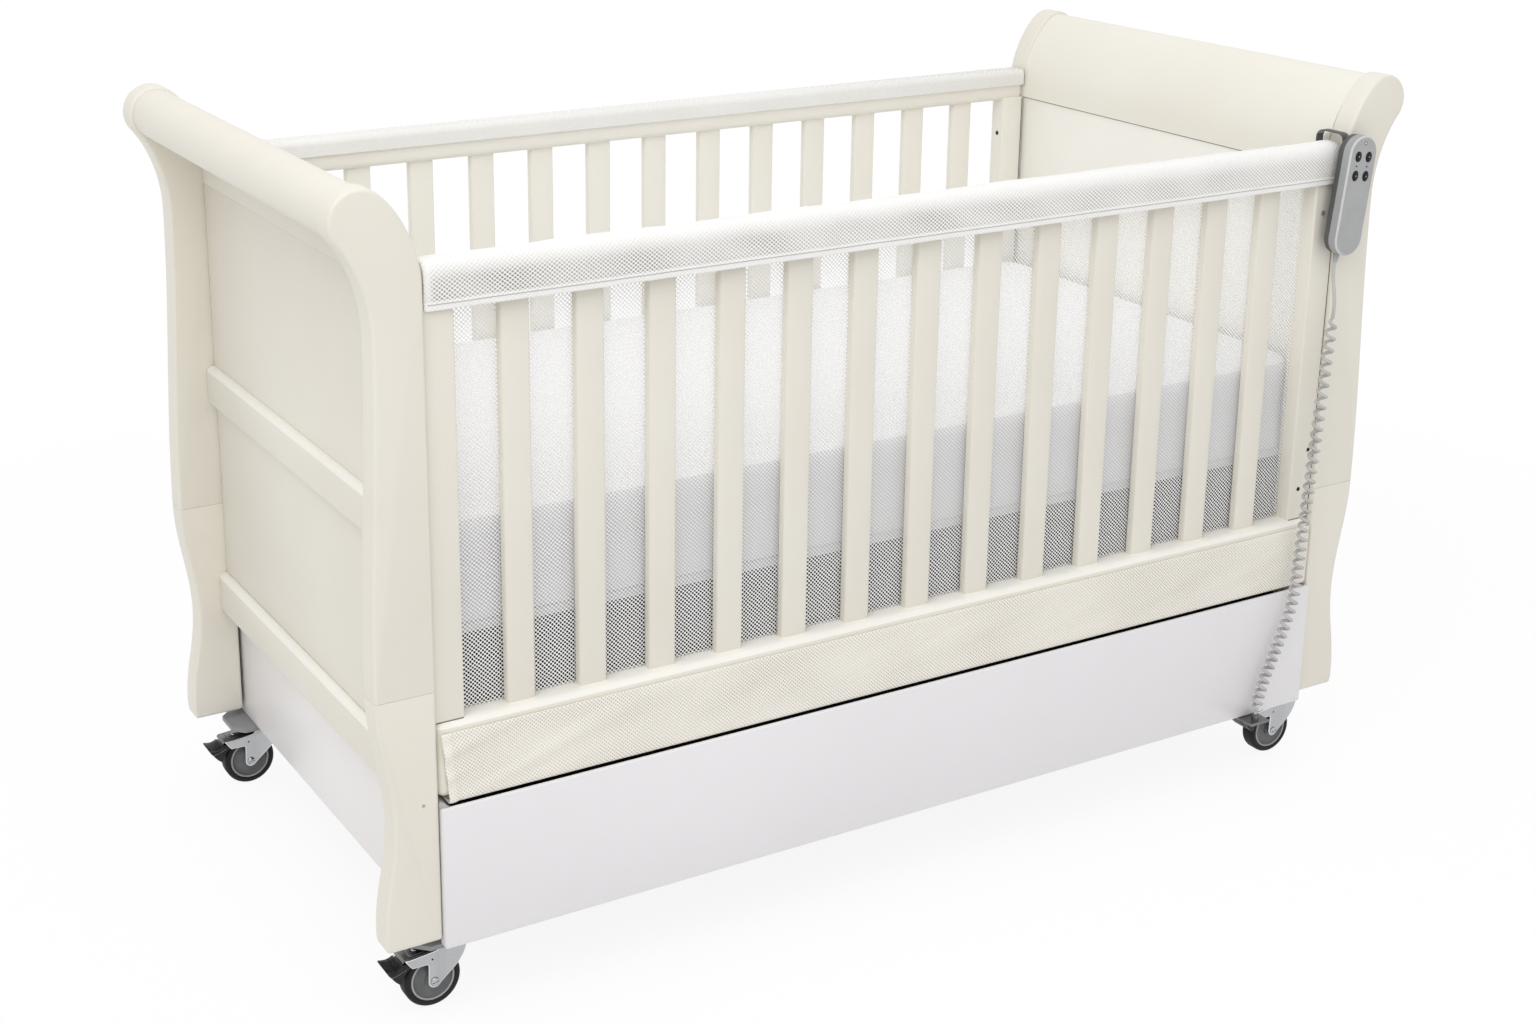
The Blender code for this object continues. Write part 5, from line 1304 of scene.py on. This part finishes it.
def pedalOutline():  # from the pivot: a lip that points out and a lobe that points down
    points = arcPoints((0.0, 0.0), 0.0043, 20, 110, 5)
    points += bezierPoints((-0.0060, 0.0014), (-0.0105, -0.0004), (-0.0150, -0.0046), (-0.0210, -0.0050), 7)
    points += bezierPoints((-0.0210, -0.0050), (-0.0250, -0.0050), (-0.0280, -0.0042), (-0.0300, -0.0036), 4)
    points += arcPoints((-0.0302, -0.0050), 0.0014, 90, 200, 4) + [(-0.0306, -0.0068)]
    points += bezierPoints((-0.0306, -0.0068), (-0.0270, -0.0108), (-0.0240, -0.0165), (-0.0178, -0.0216), 6)
    points += arcPoints((-0.0160, -0.0207), 0.0018, 215, 330, 4)
    points += bezierPoints((-0.0140, -0.0205), (-0.0110, -0.0170), (-0.0075, -0.0120), (-0.0032, -0.0078), 5)
    return points + [(0.0020, -0.0038)]


def makePedal(p, corner, axle, pivot):
    place, body = placedAt(Vector((pivot.x, axle.y, pivot.z))), f"{corner}_brake"
    blade = pedalOutline()
    pad = [(a, b) for a, b in blade if a < p["padStart"]]
    bm = bmesh.new()
    addPlate(bm, blade, -p["half"], p["half"], place, p["edge"], 2)
    addPlate(bm, pad, -p["padHalf"], p["padHalf"], place, p["padEdge"], 3)
    finishPiece(f"{corner}Pedal", bm, "pedalBlack", body, "black_plastic", [f"{corner}_pedal"], 32)
    crease = [(-0.0282, -0.0093), (-0.0215, -0.0080), (-0.0145, -0.0056), (-0.0090, -0.0033)]  # painted highlight along the crease between lip and lobe
    bm = bmesh.new()
    for sign in (-1, 1):
        line = [place(a, b, sign * p["padHalf"]) for a, b in crease]
        joinInto(bm, tubeMesh("crease", line, p["crease"], 8))
    finishPiece(f"{corner}CreaseHighlight", bm, "hubGrey", body, "black_plastic", (), 60)


for corner in ("front_left", "front_right", "rear_left", "rear_right"):
    low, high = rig.box(f"{corner}_tyre")
    axle = (low + high) / 2
    makeWheel(castor, corner, axle, (high.z - low.z) / 2, (high.y - low.y) / 2)
    makeFork(castor, corner, axle)
    makeRace(castor, corner, axle, jointAt[f"{corner}_swivel_turn"])
    makeHousing(castor, corner, axle)
    makePedal(pedal, corner, axle, jointAt[f"{corner}_brake_press"])
print("castors")

# handset shells, made upright in its own frame
buttons = dict(radius=0.0050, tall=1.28, gap=0.0003, wellOut=0.004, wellDeep=0.0085, ring=1.18, arrow=0.0012)
buttonNames = ("button_up_lift", "button_up_deck", "button_down_lift", "button_down_deck")
hook = dict(span=(0.688, 0.701), thick=0.0014, nearSoft=0.010, farSoft=0.012, nearLong=0.034, farLong=0.029,
            edge=0.0004)


def stadium(wide, tall, steps=16):
    radius = wide / 2
    rise = tall / 2 - radius
    return arcPoints((0, rise), radius, 0, 180, steps) + arcPoints((0, -rise), radius, 180, 360, steps)


def tilted(bm):
    bmesh.ops.transform(bm, matrix=handsetTilt, verts=bm.verts)
    return bm


def cutBy(piece, cutter):
    cut = piece.modifiers.new("cut", "BOOLEAN")
    cut.operation = "DIFFERENCE"
    cut.object = cutter
    done = bpy.data.meshes.new_from_object(piece.evaluated_get(bpy.context.evaluated_depsgraph_get()))
    piece.modifiers.clear()
    piece.data = done
    bpy.data.objects.remove(cutter)


def buttonSpot(node):  # centre of a button in the handset's own frame
    low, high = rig.box(node)
    spot = handsetTilt.inverted() @ ((low + high) / 2)
    return Vector((spot.x, low.y, spot.z))


def oval(bm, spot):  # buttons are taller than wide
    bmesh.ops.scale(bm, vec=(1, 1, buttons["tall"]), verts=bm.verts, space=Matrix.Translation(-spot))
    return bm


def joinRings(bm, inner, outer, start, end):  # one round each button, from the handset's face
    for node in buttonNames:
        spot = buttonSpot(node)
        ring = bmesh.new()
        addRing(ring, inner, outer, start, end, (spot.x, faceY, spot.z), (0, 1, 0), 32)
        joinInto(bm, oval(ring, spot))


def shellLook(face):  # flat face, rim with a painted highlight, side wall with painted shade
    level = abs(face.normal.y)
    return 0 if level > 0.9 else 1 if level > 0.3 else 2


def makeFrontShell(h, b):
    bm = bmesh.new()
    addPlate(bm, stadium(h["wide"], h["tall"]), faceY, joinY + h["deeper"], alongY, h["rim"], 1,
             lambda start, end: min(start.y, end.y) > faceY + 0.001)
    paintFaces(bm, shellLook)
    front = finishPiece("handsetFront", tilted(bm), ["handsetGrey", "handsetRimHighlight", "handsetSide"], None, "handset_grey",
                        ["handset_front"], 30)
    bm = bmesh.new()
    joinRings(bm, 0.0, b["radius"] + b["gap"], -b["wellOut"], b["wellDeep"])
    cutBy(front, finishPiece("buttonHoles", tilted(bm), "handsetGrey", None, "handset_grey"))
    front.data.shade_smooth()
    front.data.set_sharp_from_angle(angle=math.radians(30))
    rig.ride(front, "handset")


def makeRelief(h):  # ribbed strain relief where the cord leaves
    radius, bottom = h["reliefRadius"], -h["tall"] / 2
    foot = bottom - h["reliefLong"]
    ribs = [(0.0, bottom + 0.004), (radius, bottom + 0.004)]
    for k in range(4):
        level = bottom - 0.0005 - k * 0.0029
        wide = radius * (1 - 0.09 * k)
        ribs += [(wide, level), (wide, level - 0.0017), (wide * 0.84, level - 0.0020), (wide * 0.84, level - 0.0027)]
    ribs += [(radius * 0.62, foot), (0.0, foot)]
    bm = bmesh.new()
    addTurned(bm, ribs, (0, (joinY + backY) / 2, 0), (0, 0, 1), 24)
    finishPiece("cordRelief", tilted(bm), "reliefGrey", "handset", "dark_grey")


def hookOutline(k):  # strap over the covered rail
    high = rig.box("handset_back")[1]
    top, near, far, thick = high.z, backY, high.y, k["thick"]
    nearAt, farAt = (near + k["nearSoft"], top - k["nearSoft"]), (far - k["farSoft"], top - k["farSoft"])
    points = [(near, top - k["nearLong"])] + arcPoints(nearAt, k["nearSoft"], 180, 90, 6)
    points += arcPoints(farAt, k["farSoft"], 90, 0, 6) + [(far, top - k["farLong"]), (far - thick, top - k["farLong"])]
    points += arcPoints(farAt, k["farSoft"] - thick, 0, 90, 6) + arcPoints(nearAt, k["nearSoft"] - thick, 90, 180, 6)
    return points + [(near + thick, top - k["nearLong"])]


def makeBackShell(h, k):
    start = joinY + h["deeper"]
    bm = bmesh.new()
    addPlate(bm, stadium(h["wide"] - h["backLess"], h["tall"] - h["backLess"]), start + h["seam"], backY, alongY,
             h["backEdge"], 4, lambda a, b: min(a.y, b.y) < start + 0.002)
    tilted(bm)
    addPlate(bm, hookOutline(k), *k["span"], alongX, k["edge"], 2)
    paintFaces(bm, lambda face: face.normal.z > 0.6 and face.calc_center_median().y > backY)  # painted light: the strap's top is paler
    finishPiece("handsetBack", bm, ["handsetDark", "handsetSide"], "handset", "dark_grey", ["handset_back"], 40)


def makeButtons(b):
    radius, size = b["radius"], b["arrow"]
    for node in buttonNames:
        spot = buttonSpot(node)
        low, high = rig.box(node)
        deep = high.y - low.y
        dome = [(0.0, 0.0), (radius * 0.5, 0.00012), (radius * 0.8, 0.0004), (radius * 0.94, 0.0008), (radius, 0.0015),
                (radius, deep), (0.0, deep)]
        bm = bmesh.new()
        addTurned(bm, dome, spot, (0, 1, 0), 32)
        finishPiece(node.replace("_", " ").title().replace(" ", ""), tilted(oval(bm, spot)), "blackPlastic", node,
                    "black_plastic", [node], 40)
        up = size if "_up_" in node else -size
        head = [(-0.62 * size, 0.05 * up), (0.62 * size, 0.05 * up), (0.0, 0.95 * up)]
        stem = [(-0.20 * size, -0.75 * up), (0.20 * size, -0.75 * up), (0.20 * size, 0.05 * up),
                (-0.20 * size, 0.05 * up)]
        bm = bmesh.new()
        for outline in (head, stem):
            addPlate(bm, [(spot.x + a, spot.z + c) for a, c in outline], spot.y - 0.00015, spot.y + 0.0006, alongY)
        finishPiece(node.replace("button", "arrow"), tilted(bm), "arrowWhite", node, "black_plastic")


marks = dict(lampDown=0.0105, lampRing=(0.0017, 0.0025), sign=0.0021,
             lamp=((0.0, -0.0006), (0.0010, -0.0005), (0.0016, -0.0001), (0.0016, 0.001), (0.0, 0.001)))


def makeMarks(m, b):  # a small lamp at the top, a dark sign between each pair of buttons and a ring round each button
    lampAt = (0.0, 0.0, handset["tall"] / 2 - m["lampDown"])
    bm = bmesh.new()
    addTurned(bm, [(r, faceY + a) for r, a in m["lamp"]], lampAt, (0, 1, 0), 20)
    finishPiece("handsetLamp", tilted(bm), "arrowWhite", "handset", "handset_grey")
    bm = bmesh.new()
    addRing(bm, *m["lampRing"], faceY - 0.0002, faceY + 0.0006, lampAt, (0, 1, 0), 24)
    size = m["sign"]
    for upper, lower in zip(buttonNames[:2], buttonNames[2:]):
        middle = (buttonSpot(upper) + buttonSpot(lower)) / 2
        sign = [(-1, -0.4), (1, -0.4), (1, 0), (-0.3, 0), (-0.3, 0.7), (-1, 0.7)]
        addPlate(bm, [(middle.x + a * size, middle.z + c * size) for a, c in sign], faceY - 0.00012, faceY + 0.0006,
                 alongY)
    joinRings(bm, b["radius"] + b["gap"], b["ring"] * b["radius"], -0.0002, 0.0006)
    finishPiece("handsetSigns", tilted(bm), "shadowBlack", "handset", "dark_grey")


makeFrontShell(handset, buttons)
makeRelief(handset)
makeBackShell(handset, hook)
makeButtons(buttons)
makeMarks(marks, buttons)
print("handset")

# screws, holes and plugs that show: at is the middle of the head, out the way it looks
frontSide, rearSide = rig.box("front_side"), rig.box("rear_side")
stileFace = (frontSide[0].y + frontSide[1].y) / 2 - slats["stileThick"] / 2
rearMiddle = (rearSide[0].y + rearSide[1].y) / 2
rearStileX = rearSide[1].x - slats["stileWide"]
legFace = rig.box("left_front_leg")[0].y
screws = [
    dict(name="stileScrew", at=(0.6760, stileFace, 0.852), out=(0, -1, 0), radius=0.0040, look="steelPaint"),
    dict(name="stileHoleUpper", at=(0.6890, stileFace, 0.497), out=(0, -1, 0), radius=0.0030, look="shadowBlack"),
    dict(name="stileHoleLower", at=(0.6760, stileFace, 0.438), out=(0, -1, 0), radius=0.0032, look="shadowBlack"),
    dict(name="rearStileScrew", at=(rearStileX, rearMiddle - 0.002, 0.845), out=(-1, 0, 0), radius=0.0036,
         look="shadowBlack"),
    dict(name="legPlug", at=(-0.7200, legFace, 0.295), out=(0, -1, 0), radius=0.0019, look="plugTan")]


def makeScrew(s):
    radius = s["radius"]
    bm = bmesh.new()
    addTurned(bm, [(0.0, 0.0005), (radius * 0.35, 0.0005), (radius * 0.45, 0.0009), (radius * 0.85, 0.0008),
                   (radius, 0.0001), (radius, -0.002), (0.0, -0.002)], s["at"], s["out"], 24)
    finishPiece(s["name"], bm, s["look"], "cot", "zinc")


for each in screws:
    makeScrew(each)


def directRays(tree):  # 1 where the camera, a reflection or clear material looks, 0 for light on other things
    rays = addNode(tree, "LightPath").outputs
    seen = mathNode(tree, "MAXIMUM", rays["Is Camera Ray"], rays["Is Glossy Ray"])
    return mathNode(tree, "MAXIMUM", seen, rays["Is Transmission Ray"])


# pale floor that keeps the object's shadow, white all round
floor = dict(half=12.0, near=1.5, far=3.2, shade=0.11, white=1.015, colour=(244, 244, 244))


def floorMaterial(f):
    made, tree = startMaterial("paleFloor")[:2]
    tree.nodes.clear()
    plain = addNode(tree, "BsdfDiffuse", {"Color": srgb(*f["colour"])}).outputs["BSDF"]
    white = addNode(tree, "Emission", {"Color": (1, 1, 1, 1), "Strength": f["white"]}).outputs["Emission"]
    place = addNode(tree, "TexCoord").outputs["Object"]
    away = addNode(tree, "VectorMath", {0: place}, operation="LENGTH")
    share = addNode(tree, "MapRange", {"Value": away.outputs["Value"], "From Min": f["near"], "From Max": f["far"],
                                       "To Min": f["shade"], "To Max": 0.0}, interpolation_type="SMOOTHSTEP")
    seen = addNode(tree, "MixShader", {"Fac": share.outputs["Result"], 1: white, 2: plain}).outputs["Shader"]
    both = addNode(tree, "MixShader", {"Fac": directRays(tree), 1: plain, 2: seen}).outputs["Shader"]
    addNode(tree, "OutputMaterial", {"Surface": both})
    return made


def makeFloor(f):
    bm = bmesh.new()
    bmesh.ops.create_grid(bm, x_segments=1, y_segments=1, size=f["half"])
    mesh = bpy.data.meshes.new("floor")
    bm.to_mesh(mesh)
    bm.free()
    mesh.materials.append(floorMaterial(f))
    plane = bpy.data.objects.new("floor", mesh)
    scene.collection.objects.link(plane)
    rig.stage(plane)


makeFloor(floor)

# soft studio light
lamps = [dict(name="keyLight", at=(-2.2, -1.65, 3.5), aim=(0.1, 0, 0.6), size=2.4, power=39),
         dict(name="topLight", at=(0.2, 0.1, 3.3), aim=(0, 0, 0.5), size=3.0, power=9),
         dict(name="frontLight", at=(0.0, -2.7, 2.7), aim=(0, 0, 0.5), size=2.2, power=7.5)]
skyLevel = 0.735


def makeLamp(lamp):
    data = bpy.data.lights.new(lamp["name"], "AREA")
    data.size = lamp["size"]
    data.energy = lamp["power"]
    holder = bpy.data.objects.new(lamp["name"], data)
    holder.location = lamp["at"]
    holder.rotation_euler = (Vector(lamp["aim"]) - Vector(lamp["at"])).to_track_quat("-Z", "Y").to_euler()
    scene.collection.objects.link(holder)


def makeSky(level):
    world = bpy.data.worlds.new("studio")
    scene.world = world
    world.use_nodes = True
    tree = world.node_tree
    strength = addNode(tree, "MapRange", {"Value": directRays(tree), "To Min": level, "To Max": 1.0})
    setInputs(tree, tree.nodes["Background"], {"Color": (1, 1, 1, 1), "Strength": strength.outputs["Result"]})


for each in lamps:
    makeLamp(each)
makeSky(skyLevel)
print("floor and light")

with open("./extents.json", "w") as out:
    json.dump({"cad": [list(c) for c in cadBox], "visual": [list(c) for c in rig.bounds()]}, out)
